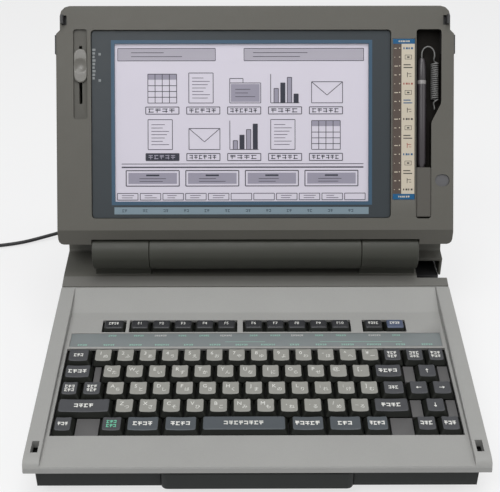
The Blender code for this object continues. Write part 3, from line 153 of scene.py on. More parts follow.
# Power lead: a round two-core cord in black vinyl. It leaves a moulded connector in the
# back, comes down to the table in a wide bend and is wound into a coil, held by a tie.
lead_radius = 2 * MM
lead_knots = [mm(*knot) for knot in (
    (-150.0, 207.3, 20.0), (-150.0, 211.8, 20.0), (-151.5, 220.6, 18.6), (-157.5, 228.8, 15.6),
    (-169.0, 232.5, 12.6), (-184.0, 231.0, 10.4), (-206.0, 225.0, 8.0), (-232.0, 215.0, 5.4),
    (-258.0, 204.5, 3.6), (-284.0, 198.0, 3.0), (-306.0, 196.2, 3.0), (-318.0, 196.0, 3.0),
    (-323.0, 196.0, 3.0))]
knot_steps = 4
coil_pitch, coil_outer, tail_bend, coil_gap = mm(4.7, 28, 17, 0.3)
coil_turns, coil_layers, loop_points = 2.75, 4, 20
coil_x = lead_knots[-1][0] - coil_gap - 2 * lead_radius
coil_y = lead_knots[-1][1] - coil_outer
coil_base = lead_knots[-1][2]


def smooth(knots, steps):
    """A smooth curve through the knots, read at even steps between them."""
    ends = [tuple(2 * a - b for a, b in zip(knots[0], knots[1])), *knots,
            tuple(2 * a - b for a, b in zip(knots[-1], knots[-2]))]
    points = []
    for index in range(1, len(ends) - 2):
        p0, p1, p2, p3 = (Vector(ends[index + k]) for k in (-1, 0, 1, 2))
        for step in range(steps):
            t = step / steps
            points.append(tuple(0.5 * (2 * p1 + (p2 - p0) * t
                                       + (2 * p0 - 5 * p1 + 4 * p2 - p3) * t * t
                                       + (3 * p1 - p0 - 3 * p2 + p3) * t ** 3)))
    points.append(tuple(knots[-1]))
    return points


def coil_route():
    """Loops that spiral in and out again, then a bend across the ring to the plug. Gives
    the points and the way the last of them go."""
    points = [(coil_x + 2 * lead_radius, coil_y + coil_outer, coil_base)]
    steps = round(coil_turns * loop_points)
    climb = loop_points // 4
    rise_steps = loop_points // 3
    for count in range(coil_layers * steps + rise_steps + 1):
        layer, step = divmod(count, steps)
        if layer < coil_layers:
            share = step / steps
            inward = share if layer % 2 == 0 else 1 - share
            radius = coil_outer - inward * coil_turns * coil_pitch
            before = min(0.0, (step - climb) / (2 * climb)) if layer > 0 else 0.0
            after = max(0.0, (step - (steps - climb)) / (2 * climb))
            lift = layer + before + (after if layer < coil_layers - 1 else 0.0)
        else:
            lift = layer - 1 + min(1.0, step / rise_steps)
            radius = coil_outer
        angle = math.pi / 2 + math.tau * count / loop_points
        points.append((coil_x + radius * math.cos(angle), coil_y + radius * math.sin(angle),
                       coil_base + lift * coil_pitch))
    bend_x = coil_x + (coil_outer - tail_bend) * math.cos(angle)
    bend_y = coil_y + (coil_outer - tail_bend) * math.sin(angle)
    for step in range(1, loop_points // 4 + 1):
        turn = angle + math.tau * step / loop_points
        points.append((bend_x + tail_bend * math.cos(turn), bend_y + tail_bend * math.sin(turn),
                       coil_base + lift * coil_pitch))
    end, before_end = Vector(points[-1]), Vector(points[-2])
    way = (end - before_end).normalized()
    points.append(tuple(end + way * 2 * lead_radius))
    return points, way


def cord_curve(name, points, radius, resolution=3):
    """One open spline with a round section and closed ends."""
    curve = bpy.data.curves.new(name, "CURVE")
    curve.dimensions = "3D"
    curve.bevel_depth = radius
    curve.bevel_resolution = resolution
    curve.use_fill_caps = True
    spline = curve.splines.new("POLY")
    spline.points.add(len(points) - 1)
    for point, place in zip(spline.points, points):
        point.co = (*place, 1)
    spline.use_smooth = True
    return add_object(name, curve)


cloud_scale, gloss_scale, speck_scale = 22, 90, 2600
gloss_shift = 0.07
grain_depth = 0.15 * MM


def noise(tree, scale, detail, rough=0.6, stretch=None):
    """A noise in the object's own coordinates, so that it stays put on the piece."""
    place = node(tree, "TexCoord")
    made = node(tree, "TexNoise", Scale=scale, Detail=detail, Roughness=rough)
    if stretch:
        turned = node(tree, "Mapping", Scale=stretch)
        wire(tree, place, turned, "Object", "Vector")
        wire(tree, turned, made, 0, "Vector")
    else:
        wire(tree, place, made, "Object", "Vector")
    return made


def surface(name, colour, roughness, grain=0.0, grain_scale=1500, shift=0.06, metallic=0.0,
            coat=0.0, brushed=None, spots=0.0, sheen=0.3):
    """A moulded, painted or drawn finish: uneven tone, uneven gloss and a fine grain."""
    material = bpy.data.materials.new(name)
    material.use_nodes = True
    tree = material.node_tree
    shader = tree.nodes["Principled BSDF"]
    for key, value in (("Metallic", metallic), ("Specular IOR Level", sheen),
                       ("Coat Weight", coat), ("Coat Roughness", 0.15)):
        shader.inputs[key].default_value = value
    last = node(tree, "Mix")
    last.data_type = "RGBA"
    last.inputs["A"].default_value = (*(c * (1 - shift) for c in colour), 1)
    last.inputs["B"].default_value = (*(min(1, c * (1 + shift)) for c in colour), 1)
    wire(tree, noise(tree, cloud_scale, 4.0), last, "Fac", "Factor")
    if spots:
        tone, last = last, node(tree, "Mix", Factor=spots)
        last.data_type = "RGBA"
        last.blend_type = "OVERLAY"
        wire(tree, tone, last, "Result", "A")
        wire(tree, noise(tree, speck_scale, 1.0, 0.5), last, "Fac", "B")
    wire(tree, last, shader, "Result", "Base Color")
    gloss = node(tree, "MapRange")
    gloss.inputs["To Min"].default_value = max(0.05, roughness - gloss_shift)
    gloss.inputs["To Max"].default_value = min(1.0, roughness + gloss_shift)
    wire(tree, noise(tree, gloss_scale, 3.0, stretch=brushed), gloss, "Fac", "Value")
    wire(tree, gloss, shader, 0, "Roughness")
    if grain:
        bump = node(tree, "Bump", Strength=grain, Distance=grain_depth)
        wire(tree, noise(tree, grain_scale, 3.0, stretch=brushed), bump, "Fac", "Height")
        wire(tree, bump, shader, 0, "Normal")
    return material


BASE = Matrix.Identity(4)
SHARP = math.radians(38)


def make(name, bm, materials, body, place=BASE, stands_for=None):
    """A finished piece: its place goes into its mesh, and it rides on its body."""
    bmesh.ops.transform(bm, matrix=place, verts=bm.verts)
    mesh = bpy.data.meshes.new(name)
    bm.to_mesh(mesh)
    bm.free()
    for material in materials:
        mesh.materials.append(material)
    mesh.shade_smooth()
    mesh.set_sharp_from_angle(angle=SHARP)
    item = add_object(name, mesh)
    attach(item, body)
    if stands_for:
        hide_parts(stands_for)
    return item


def new_faces(bm, known):
    return [face for face in bm.faces if face not in known]


def paint(bm, known, material):
    """Gives a finish to all faces but the known ones."""
    for face in new_faces(bm, known):
        face.material_index = material


def round_edges(bm, edges, width, steps=2):
    bmesh.ops.bevel(bm, geom=list(edges), offset=width, segments=steps, profile=0.5,
                    affect="EDGES", material=-1)


def cube(bm, low, high):
    """A sharp block between two corners. Gives its vertices."""
    low, high = Vector(low), Vector(high)
    verts = bmesh.ops.create_cube(bm, size=1.0)["verts"]
    bmesh.ops.transform(bm, matrix=Matrix.Diagonal(high - low).to_4x4(), verts=verts)
    bmesh.ops.translate(bm, vec=(low + high) / 2, verts=verts)
    return verts


def block(bm, low, high, edge=0.0, steps=2, material=0):
    """A block between two corners with rounded edges, added to a mesh."""
    known = set(bm.faces)
    verts = cube(bm, low, high)
    if edge:
        round_edges(bm, {e for v in verts for e in v.link_edges}, edge, steps)
    paint(bm, known, material)


TURNS = {"Y": Matrix.Rotation(-math.pi / 2, 4, "X"), "Z": Matrix.Identity(4)}


def rod(bm, radius, start, end, axis, centre, sides, far=None, edge=0.0):
    """A rod or a taper along an axis, with its end edges rounded."""
    known = set(bm.faces)
    middle = Matrix.Translation((0, 0, (start + end) / 2))
    verts = bmesh.ops.create_cone(bm, cap_ends=True, segments=sides, radius1=radius,
                                  radius2=radius if far is None else far,
                                  depth=end - start, matrix=middle)["verts"]
    bmesh.ops.transform(bm, matrix=Matrix.Translation(centre) @ TURNS[axis], verts=verts)
    if edge:
        caps = [f for f in new_faces(bm, known) if len(f.verts) > 4]
        round_edges(bm, {e for f in caps for e in f.edges}, edge)


cord_vinyl = surface("cord_vinyl", (0.018, 0.018, 0.019), 0.42, 0.10, 2400)
plug_vinyl = surface("plug_vinyl", (0.022, 0.022, 0.023), 0.5, 0.25, 1800)
blade_brass = surface("plated_blade", (0.72, 0.70, 0.66), 0.25, 0.05, 900, metallic=1.0,
                      brushed=(1, 30, 30))
tie_nylon = surface("tie_nylon", (0.03, 0.03, 0.032), 0.7, 0.3, 2200)

out_points = smooth(lead_knots, knot_steps)
coil_points, plug_way = coil_route()
lead = cord_curve("lead_cord", out_points[:-1] + coil_points, lead_radius)
lead.data.materials.append(cord_vinyl)
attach(lead, "base")
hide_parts("power_lead", "lead_coil")

# The tie goes round the coil's section on its far side, with a clasp on the outside
tie_half, tie_thickness, tie_round = mm(3, 0.7, 2)
clasp_half, clasp_proud, clasp_low, clasp_high = mm(3.9, 1.6, 5, 9)
ring_inner = coil_outer - coil_turns * coil_pitch - lead_radius - tie_thickness / 2
ring_outer = coil_outer + lead_radius + tie_thickness / 2
ring_low = coil_base - lead_radius - tie_thickness / 2
ring_high = coil_base + (coil_layers - 1) * coil_pitch + lead_radius + tie_thickness / 2
bm = bmesh.new()
block(bm, (-tie_half, ring_inner, ring_low), (tie_half, ring_outer, ring_high), tie_round, 4)
ends = [f for f in bm.faces if abs(f.normal.x) > 0.9 and f.calc_area() > 20 * MM * MM]
bmesh.ops.delete(bm, geom=ends, context="FACES")
bmesh.ops.solidify(bm, geom=bm.faces[:], thickness=tie_thickness)
block(bm, (-clasp_half, ring_outer - tie_thickness, ring_low + clasp_low),
      (clasp_half, ring_outer + clasp_proud, ring_low + clasp_high), 0.5 * MM)
bmesh.ops.recalc_face_normals(bm, faces=bm.faces)
tie = make("lead_tie", bm, [tie_nylon], "base",
           Matrix.Translation((coil_x, coil_y, 0)) @ Matrix.Rotation(math.radians(200), 4, "Z"))

# Mains plug: a moulded body with finger ribs and two flat blades with holes
plug_length, plug_half, plug_rise, plug_gap = mm(24, 9, 5.5, 0.3)
rib_start, rib_pitch, rib_width, rib_proud = mm(6, 3, 1.4, 0.6)
rib_rise = plug_rise * 0.6
blade_length, blade_half, blade_spread, blade_sunk = mm(17, 3, 6.35, 1)
blade_side, hole_radius, hole_down, hole_proud = mm(0.75, 1.3, 4, 0.02)
plug_start = Vector(coil_points[-1]) + plug_way * plug_gap
plug_place = (Matrix.Translation(plug_start + Vector((0, 0, plug_rise - lead_radius)))
              @ Matrix.Rotation(math.atan2(plug_way.y, plug_way.x), 4, "Z"))
bm = bmesh.new()
block(bm, (0, -plug_half, -plug_rise), (plug_length, plug_half, plug_rise), 2.4 * MM, 4)
for index in range(4):
    reach = rib_start + rib_pitch * index
    for side in (-plug_half, plug_half):
        block(bm, (reach, side - rib_proud, -rib_rise),
              (reach + rib_width, side + rib_proud, rib_rise), 0.3 * MM)
for middle in (-blade_spread, blade_spread):
    block(bm, (plug_length - blade_sunk, middle - blade_side, -blade_half),
          (plug_length + blade_length, middle + blade_side, blade_half), 0.4 * MM, material=1)
    rod(bm, hole_radius, middle - blade_side - hole_proud, middle + blade_side + hole_proud,
        "Y", (plug_length + blade_length - hole_down, 0, 0), 16)
plug = make("mains_plug", bm, [plug_vinyl, blade_brass], "base", plug_place,
            stands_for="lead_plug")

# Connector in the back of the machine, with its tapered and ribbed strain relief
inlet_x, inlet_height, connector_back, relief_length = mm(-150, 20, 183, 24)
connector_half, connector_rise = mm(8.5, 5.5)
connector_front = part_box("lead_connector")[0].y
bm = bmesh.new()
block(bm, (inlet_x - connector_half, connector_front, inlet_height - connector_rise),
      (inlet_x + connector_half, connector_back, inlet_height + connector_rise), 1.6 * MM, 3)
rod(bm, 4 * MM, connector_back - 2 * MM, connector_back + relief_length, "Y",
    (inlet_x, 0, inlet_height), 24, far=2.3 * MM, edge=0.3 * MM)
for index in range(5):
    reach = connector_back + (2 + 4 * index) * MM
    rod(bm, (4.5 - 0.32 * index) * MM, reach, reach + 2 * MM, "Y",
        (inlet_x, 0, inlet_height), 24, edge=0.4 * MM)
connector = make("lead_connector_body", bm, [plug_vinyl], "base",
                 stands_for="lead_connector")

# Pen cord: a thin curled lead in grey vinyl, moulded into the foot of the pen's bay.
# It rises in tight curls and loops over into the end of the pen.
hinge_y, hinge_z = mm(44.8, 94.6)
LID = Matrix.Translation((0, hinge_y, hinge_z)) @ Matrix.Rotation(math.radians(-31), 4, "X")
lid_foot, lid_face = mm(5.9, -22.7)
pen_x, pen_low, pen_high, pen_grip = mm(150.6, 52, 168, 1.5)
pen_y = lid_face + 4.7 * MM
curl_radius, curl_wire, curl_pitch, curl_x, curl_top = mm(3.1, 0.65, 1.9, 162.2, 164)
tail_drop, out_rise, loop_shoulder, loop_peak = mm(8, 7, 171, 178.5)
curl_count, curl_points, out_steps, loop_steps = 18, 12, 8, 12
turned_out = math.radians(195)
out_climb = curl_pitch * turned_out / math.tau
loop_half = (curl_x - pen_x) / 2


def along(length):
    """Height above the hinge axis of a place measured from the lid's lower edge."""
    return lid_foot + length


def round_curl(radius, angle, height):
    return curl_x + radius * math.cos(angle), pen_y + radius * math.sin(angle), height


def lead_out(step, angle, height, way):
    """A point of the wire where it leaves the curls, turning towards their axis."""
    share = step / out_steps
    rise = out_rise * share ** 2 + out_climb * share * (1 - share)
    return round_curl(curl_radius * (1 - share ** 2.7) ** 1.8, angle + way * turned_out * share,
                      height + way * rise)


def curly_route():
    """Points of the pen's cord, from the foot of the bay up and over into the pen."""
    first = curl_top - curl_count * curl_pitch + out_climb
    turning = math.tau * curl_count - 2 * turned_out
    steps = round(turning / math.tau * curl_points)
    points = [(curl_x, pen_y, first - out_climb - tail_drop)]
    points += [lead_out(step, 0, first, -1) for step in range(out_steps, 0, -1)]
    for step in range(steps + 1):
        angle = turning * step / steps
        points.append(round_curl(curl_radius, angle, first + angle / math.tau * curl_pitch))
    points += [lead_out(step, turning, curl_top - out_climb, 1)
               for step in range(1, out_steps + 1)]
    for step in range(loop_steps + 1):
        angle = math.pi * step / loop_steps
        points.append((pen_x + loop_half * (1 + math.cos(angle)), pen_y,
                       loop_shoulder + (loop_peak - loop_shoulder) * math.sin(angle)))
    points += [(pen_x, pen_y, pen_high + 1 * MM), (pen_x, pen_y, pen_high - pen_grip)]
    return [LID @ Vector((x, y, along(z))) for x, y, z in points]


curly_points = curly_route()
curly_curve = cord_curve("curly", curly_points, curl_wire, 2)
graph = bpy.context.evaluated_depsgraph_get()
curly_mesh = bpy.data.meshes.new_from_object(curly_curve.evaluated_get(graph))
bpy.data.objects.remove(curly_curve, do_unlink=True)
curly_vinyl = surface("curly_vinyl", (0.150, 0.150, 0.146), 0.38, 0.05, 3000, sheen=0.5)
bm = bmesh.new()
bm.from_mesh(curly_mesh)
bmesh.ops.remove_doubles(bm, verts=bm.verts, dist=weld_gap)
bmesh.ops.recalc_face_normals(bm, faces=bm.faces)
bm.to_mesh(curly_mesh)
bm.free()
curly_mesh.materials.clear()
curly_mesh.materials.append(curly_vinyl)
curly_mesh.shade_smooth()
curly = add_object("pen_cord_curls", curly_mesh)
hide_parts("pen_cord")
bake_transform(curly)

# Bottom case: a dark tray in moulded plastic, set in under the housings, on four
# rubber feet that are pressed into it. Its lower edges draw in.
case_plastic = surface("case_plastic", (0.024, 0.026, 0.025), 0.55, 0.3, 1600, sheen=0.2)
foot_rubber = surface("foot_rubber", (0.016, 0.016, 0.016), 0.85, 0.4, 1200)
plain_width = 4.2 * MM
least_turn = math.radians(30)


def moulding(solid, name, material, edge, body, steps=2, chosen=None, light_and_shade=(),
             within=None):
    """The solid's own form, with its seams merged and its outer edges rounded. edge is
    in millimetres. chosen picks the edges to round by their two ends. within gives each
    face's material, out of the material and the painted light and shade in light_and_shade."""
    bm = bmesh.new()
    bm.from_mesh(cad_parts[solid].data)
    bmesh.ops.remove_doubles(bm, verts=bm.verts, dist=weld_gap)
    bmesh.ops.dissolve_limit(bm, angle_limit=math.radians(0.5), verts=bm.verts, edges=bm.edges)
    if chosen:
        weight = bm.edges.layers.float.new("bevel_weight_edge")
        for e in bm.edges:
            if len(e.link_faces) == 2 and e.calc_face_angle() > least_turn:
                e[weight] = 1.0 if chosen(e.verts[0].co, e.verts[1].co) else 0.0
    if within:
        for face in bm.faces:
            face.material_index = within(face.calc_center_median(), face.normal)
    plain = [2 * face.calc_area() / face.calc_perimeter() > plain_width for face in bm.faces]
    item = make(name, bm, [material, *light_and_shade], body, stands_for=solid)
    for face, flat in zip(item.data.polygons, plain):
        face.use_smooth = not flat
    rounding = item.modifiers.new("rounded_edges", "BEVEL")
    rounding.width = edge * MM
    rounding.segments = steps
    rounding.limit_method = "WEIGHT" if chosen else "ANGLE"
    rounding.angle_limit = least_turn
    rounding.use_clamp_overlap = not chosen
    rounding.harden_normals = True
    rounding.miter_outer = "MITER_ARC"


moulding("bottom_case", "bottom_tray", case_plastic, 0.5, "base")
foot_radius, foot_rim, foot_hollow = mm(9, 2, 0.5)
for name in ("foot_front_left", "foot_back_left", "foot_front_right", "foot_back_right"):
    low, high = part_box(name)
    bm = bmesh.new()
    rod(bm, foot_radius, 0, high.z, "Z", ((low.x + high.x) / 2, (low.y + high.y) / 2, 0), 48,
        edge=0.6 * MM)
    sole = min(bm.faces, key=lambda f: f.calc_center_median().z)
    bmesh.ops.inset_individual(bm, faces=[sole], thickness=foot_rim)
    bmesh.ops.translate(bm, vec=(0, 0, foot_hollow), verts=sole.verts)
    make("pad_" + name[5:], bm, [foot_rubber], "base", stands_for=name)

# Keyboard housing: one light grey moulding with a spark-eroded grain. Its rims, floor
# and crest carry the keys, and two slots in the rims take the lid's hooks.
deck_front = -175 * MM
DECK = Matrix.Translation((0, deck_front, 40 * MM)) @ Matrix.Rotation(math.radians(6), 4, "X")
deck_plastic = surface("deck_plastic", (0.352, 0.351, 0.338), 0.50, 0.28, 1500, spots=0.10)
side_x, rim_x, seam_z, rim_z = mm(178.9, 166, 35, 43)
rim_climb = 0.12


def outer_or_rim(first, second):
    """Edges of the outer sides above the seam, and the inner top edges of the rims."""
    low = min(first.z, second.z)
    outer = min(abs(first.x), abs(second.x)) > side_x and low > seam_z
    rim = (first.x * second.x > 0 and low > rim_z + (min(first.y, second.y)
                                                     - deck_front) * rim_climb
           and all(abs(abs(end.x) - rim_x) < 0.1 * MM for end in (first, second)))
    return outer or rim


moulding("keyboard_housing", "keyboard_case", deck_plastic, 0.9, "base", 3,
         outer_or_rim)

# Latch wells: dark moulded pockets under the two slots in the rims
well_wall, well_depth = mm(0.8, 5.8)
bm = bmesh.new()
for side in (-1, 1):
    low, high = sorted((side * 167.6, side * 175.4))
    block(bm, mm(low, -165.5, 34.6), mm(high, -151.5, 41.5))
tops = [f for f in bm.faces if f.calc_center_median().z > 41 * MM]
bmesh.ops.inset_individual(bm, faces=tops, thickness=well_wall)
for face in tops:
    bmesh.ops.translate(bm, vec=(0, 0, -well_depth), verts=face.verts)
make("latch_wells", bm, [foot_rubber], "base")

# Legend panel: a printed strip in the housing, above the number keys, with short
# pale green marks in two rows over the columns of function keys
legend_plastic = surface("legend_plastic", (0.205, 0.228, 0.230), 0.35, 0.08, 1800)
mint_ink = surface("mint_ink", (0.30, 0.55, 0.45), 0.5)
pale_ink = surface("pale_ink", (0.62, 0.62, 0.60), 0.5)
legend_top = -0.1 * MM
bm = bmesh.new()
block(bm, mm(-162.2, 130.3, -0.7), (162.2 * MM, 146.2 * MM, legend_top), 0.2 * MM)
make("legend_strip", bm, [legend_plastic], "base", DECK, stands_for="legend_panel")
# Groups of function keys: where each starts, in millimetres, and how many keys it has
function_groups = ((-136.0, 1), (-112.0, 5), (-11.0, 5), (95.5, 2))
function_pitch, single_width, key_gap = mm(19.2, 21, 1)
ink_height = 0.05 * MM


def word_bars(bm, middle, half, low, high, top, count, seed, material=0):
    """Signs of a few strokes in a row, as small print looks from a distance."""
    pitch, tall = 2 * half / count, high - low
    for index in range(count):
        start = middle - half + index * pitch
        end = start + pitch * 0.8
        kind = (index * 7 + seed * 5) % 4
        stem = start + pitch * (0.12, 0.34, 0.56, 0.2)[kind]
        dash = low + tall * (0.0, 0.3, 0.1, 0.4)[kind]
        for x, y, far, up in ((start, high - tall * 0.24, end, high),
                              (start, dash, end, dash + tall * 0.22),
                              (stem, low, stem + pitch * 0.22, high)):
            block(bm, (x, y, top), (far, up, top + ink_height), material=material)


def function_keys():
    """Left edge and width of each function key."""
    for left, count in function_groups:
        wide = single_width if count == 1 else function_pitch
        for index in range(count):
            yield left * MM + index * wide, wide - key_gap


bm = bmesh.new()
for index, (left, wide) in enumerate(function_keys()):
    word_bars(bm, left + wide / 2, (3.6 + 0.9 * (index % 3)) * MM, 142.6 * MM, 144.4 * MM,
              legend_top, 4 + index % 3, index, index % 3 // 2)
for index in range(14):
    word_bars(bm, (-151 + 23.1 * index) * MM, (4.2 + 0.7 * (index % 4)) * MM, 131.2 * MM,
              133.0 * MM, legend_top, 4 + index % 4, index)
for left, right in ((-27, 8), (56, 128)):
    block(bm, (left * MM, 135.6 * MM, legend_top),
          (right * MM, 135.9 * MM, legend_top + ink_height))
make("legend_marks", bm, [mint_ink, pale_ink], "base", DECK)

# Keys: caps in moulded plastic, with pale legends printed on their dished tops. The
# letter keys have a light top on dark sides, the others are dark.
key_pitch, key_top, key_height, key_skirt = mm(19, 4.3, 8.4, 3.2)
half_key = (key_pitch - key_gap) / 2
first_row = 40.4 * MM
row_starts = mm(-102.0, -106.8, -116.3, -121.1, -130.6)
# Inset and rise of each step from the skirt up over the shoulder and into the dish
cap_steps = [mm(*step) for step in (
    (0.25, 0.30), (2.05, 4.45), (0.30, 0.35), (0.40, 0.10), (1.2, -0.10))]
cap_dip = 0.75 * MM
cap_corner = 2 * MM
dip_parts = 6

skirt_plastic = surface("skirt_plastic", (0.011, 0.012, 0.010), 0.42, 0.15, 1800, sheen=0.15)
light_cap = surface("light_cap", (0.300, 0.298, 0.272), 0.36, 0.22, 1900, shift=0.08)
dark_cap = surface("dark_cap", (0.058, 0.060, 0.066), 0.36, 0.22, 1900)
bar_cap = surface("bar_cap", (0.072, 0.083, 0.093), 0.32, 0.22, 1900)
function_cap = surface("function_cap", (0.030, 0.031, 0.034), 0.28, 0.12, 1900)
run_cap = surface("run_cap", (0.085, 0.105, 0.165), 0.30, 0.12, 1900)
white_ink = surface("white_ink", (0.78, 0.78, 0.74), 0.5)
green_ink = surface("green_ink", (0.16, 0.55, 0.36), 0.5)


def row_reach(row):
    """How far up the deck the middle of a row of keys lies."""
    return first_row + row * key_pitch


def crown_height(top, steps):
    return top - key_height + key_skirt + sum(rise for _, rise in steps)


def dip_at(x, middle, half, dip):
    """How far a key's top lies below its rim, at a place between its two sides."""
    return dip * max(0, 1 - ((x - middle) / half) ** 2)


def keycap(bm, left, right, centre, deep_half, top=key_top, steps=cap_steps, finish=1,
           dip=cap_dip):
    """A key: an upright skirt, shoulders that lean in, a rounded rim and a top that dips
    between its left and right sides."""
    known = set(bm.faces)
    base = top - key_height
    verts = cube(bm, (left, centre - deep_half, base),
                 (right, centre + deep_half, base + key_skirt))
    edges = {e for v in verts for e in v.link_edges}
    upright = [e for e in edges if abs(e.verts[0].co.z - e.verts[1].co.z) > key_skirt / 2]
    across = [e for e in edges if abs(e.verts[0].co.x - e.verts[1].co.x) > (right - left) / 2
              and e.verts[0].co.z > base + key_skirt / 2]
    for edge in across:
        near = edge.verts[0]
        for rest in range(dip_parts, 1, -1):
            near = bmesh.utils.edge_split(edge, near, 1 / rest)[1]
    round_edges(bm, upright, cap_corner, 3)
    crown = max(new_faces(bm, known), key=lambda face: face.calc_center_median().z)
    middle, half = (left + right) / 2, (right - left) / 2 - sum(i for i, _ in steps[:2])
    space = Matrix.Translation((-middle, -centre, 0))
    upper = set()
    for count, (inset, rise) in enumerate(steps):
        wide, deep = (max(v.co[k] for v in crown.verts) - min(v.co[k] for v in crown.verts)
                      for k in (0, 1))
        settled = set(bm.faces) - {crown}
        crown = bmesh.ops.extrude_discrete_faces(bm, faces=[crown])["faces"][0]
        bmesh.ops.scale(bm, vec=(1 - 2 * inset / wide, 1 - 2 * inset / deep, 1),
                        space=space, verts=crown.verts)
        bmesh.ops.translate(bm, vec=(0, 0, rise), verts=crown.verts)
        if count > 0:
            upper.update(crown.verts)
        paint(bm, settled, finish if count > 1 else 0)
    for vert in upper:
        vert.co.z -= dip_at(vert.co.x, middle, half, dip)
    ends = [sorted((v for v in crown.verts if (v.co.y > centre) == far), key=lambda v: v.co.x)
            for far in (False, True)]
    strips = [crown]
    for first, second in list(zip(*ends))[1:-1]:
        strip = next(f for f in strips if first in f.verts and second in f.verts)
        strips.append(bmesh.utils.face_split(strip, first, second)[0])
    for face in new_faces(bm, known):
        if face.calc_center_median().z < base + key_skirt:
            face.material_index = 0


def settle(bm, known, left, right, dip=cap_dip):
    """Lets fresh ink follow the dip of the key's top below it, just clear of its facets."""
    middle, half = (left + right) / 2, (right - left) / 2 - half_key + cap_half
    for vert in bm.verts:
        if vert not in known:
            vert.co.z += ink_height - dip_at(vert.co.x, middle, half, dip)


def arrow(bm, x, y, z, turn, material):
    """An arrow with a solid head, as thin ink on a key's top, turned by degrees."""
    outline = ((-2.3, -0.28), (0.6, -0.28), (0.6, -1.35), (2.3, 0), (0.6, 1.35), (0.6, 0.28),
               (-2.3, 0.28))
    known = set(bm.faces)
    turned = Matrix.Rotation(math.radians(turn), 3, "Z")
    low = [bm.verts.new(Vector((x, y, z)) + turned @ Vector((a, b, 0)) * MM)
           for a, b in outline]
    high = [bm.verts.new(vert.co + Vector((0, 0, ink_height))) for vert in low]
    bm.faces.new(reversed(low))
    bm.faces.new(high)
    for index in range(len(low)):
        bm.faces.new((low[index - 1], low[index], high[index], high[index - 1]))
    paint(bm, known, material)


def glyph(bm, text, x, y, z, size):
    """A letter or number as thin ink on a key's top."""
    curve = bpy.data.curves.new("glyph", "FONT")
    curve.body = text
    curve.size = size
    curve.align_x = curve.align_y = "CENTER"
    curve.resolution_u = 2
    curve.extrude = ink_height / 2
    item = add_object("glyph", curve)
    graph = bpy.context.evaluated_depsgraph_get()
    mesh = bpy.data.meshes.new_from_object(item.evaluated_get(graph))
    bpy.data.objects.remove(item, do_unlink=True)
    sign = bmesh.new()
    sign.from_mesh(mesh)
    bmesh.ops.remove_doubles(sign, verts=sign.verts, dist=0.002 * MM)
    bmesh.ops.dissolve_degenerate(sign, dist=0.002 * MM, edges=sign.edges)
    bmesh.ops.recalc_face_normals(sign, faces=sign.faces)
    bmesh.ops.translate(sign, vec=(x, y, z + ink_height / 2), verts=sign.verts)
    sign.to_mesh(mesh)
    sign.free()
    bm.from_mesh(mesh)


# The letter rows, front to back: each key's letter and its smaller second sign
letters = ("", "ZXCVBNM,./_", "ASDFGHJKL;:]", "QWERTYUIOP@[", "1234567890-^¥")
kana = ("", "つさそひこみもねるめろ", "ちとしはきくまのりれけむ", "たていすかんなにらせ゛゜",
        "ぬふあうえおやゆよわほへー")
sign_spread, large_sign, small_sign = mm(2.3, 5.2, 4.6)
cap_half = half_key - cap_steps[0][0] - cap_steps[1][0]
sign_z = crown_height(key_top, cap_steps)

bm, signs = bmesh.new(), bmesh.new()
for row, text in enumerate(letters):
    reach = row_reach(row)
    for index, (first, second) in enumerate(zip(text, kana[row])):
        middle = row_starts[row] + index * key_pitch
        left, right = middle - half_key, middle + half_key
        keycap(bm, left, right, reach, half_key)
        known = set(signs.verts)
        glyph(signs, first, middle - sign_spread, reach + sign_spread * 0.8, sign_z, large_sign)
        glyph(signs, second, middle + sign_spread * 0.9, reach - sign_spread * 0.8, sign_z,
              small_sign)
        settle(signs, known, left, right)
make("letter_keys", bm, [skirt_plastic, light_cap], "base", DECK)
make("letter_signs", signs, [white_ink], "base", DECK)

# Dark keys without a joint of their own, with one or two lines of signs, and the blank
# fillers: row, left and right edge in millimetres
dark_keys = (
    (4, -162.0, -141.2, 1), (4, 107.4, 125.4, 2), (4, 126.4, 144.4, 2), (4, 145.4, 162.0, 2),
    (2, -162.0, -145.4, 2), (2, -144.4, -126.4, 2), (2, 102.7, 123.0, 1),
    (0, -162.0, -145.0, 1), (0, -124.5, -105.5, 2))
fillers = ((3, -136.6, -131.2), (3, 124.4, 133.2), (3, 153.4, 162.0), (1, 125.2, 134.2),
           (1, 154.4, 162.0), (0, -144.0, -125.5), (0, 106.6, 124.4))
line_places = (((-1.6, 1.8),), ((-3.6, -0.6), (0.4, 3.4)))
bm, signs = bmesh.new(), bmesh.new()
for index, (row, left, right, lines) in enumerate(dark_keys):
    left, right, reach = left * MM, right * MM, row_reach(row)
    keycap(bm, left, right, reach, half_key)
    known = set(signs.verts)
    for low, high in line_places[lines - 1]:
        word_bars(signs, (left + right) / 2, 4.2 * MM, reach + low * MM, reach + high * MM,
                  sign_z, 3, index, 1 if index == len(dark_keys) - 1 else 0)
    settle(signs, known, left, right)
make("dark_keys", bm, [skirt_plastic, dark_cap], "base", DECK)
make("dark_key_signs", signs, [white_ink, green_ink], "base", DECK)

# Function keys: shorter caps with flat tops on a lower level, of which the last is blue
function_reach, function_half, function_top = mm(155.6, 7, 3)
function_steps = [mm(*step) for step in (
    (0.3, 0.4), (1.5, 4.0), (0.5, 0.5), (0.5, 0.2), (0.8, 0.0))]
function_z = crown_height(function_top, function_steps)
function_list = list(function_keys())
bm, signs = bmesh.new(), bmesh.new()
for index, (left, wide) in enumerate(function_list):
    keycap(bm, left, left + wide, function_reach, function_half, function_top, function_steps,
           2 if index == len(function_list) - 1 else 1, dip=0)
    middle = left + wide / 2
    if 1 <= index <= 10:
        glyph(signs, f"F{index}", middle, function_reach + 0.6 * MM, function_z, 4.4 * MM)
    else:
        word_bars(signs, middle, 4.5 * MM, function_reach - 0.8 * MM,
                  function_reach + 2.2 * MM, function_z, 4, index)
make("function_keys", bm, [skirt_plastic, function_cap, run_cap], "base", DECK)
make("function_signs", signs, [white_ink], "base", DECK)

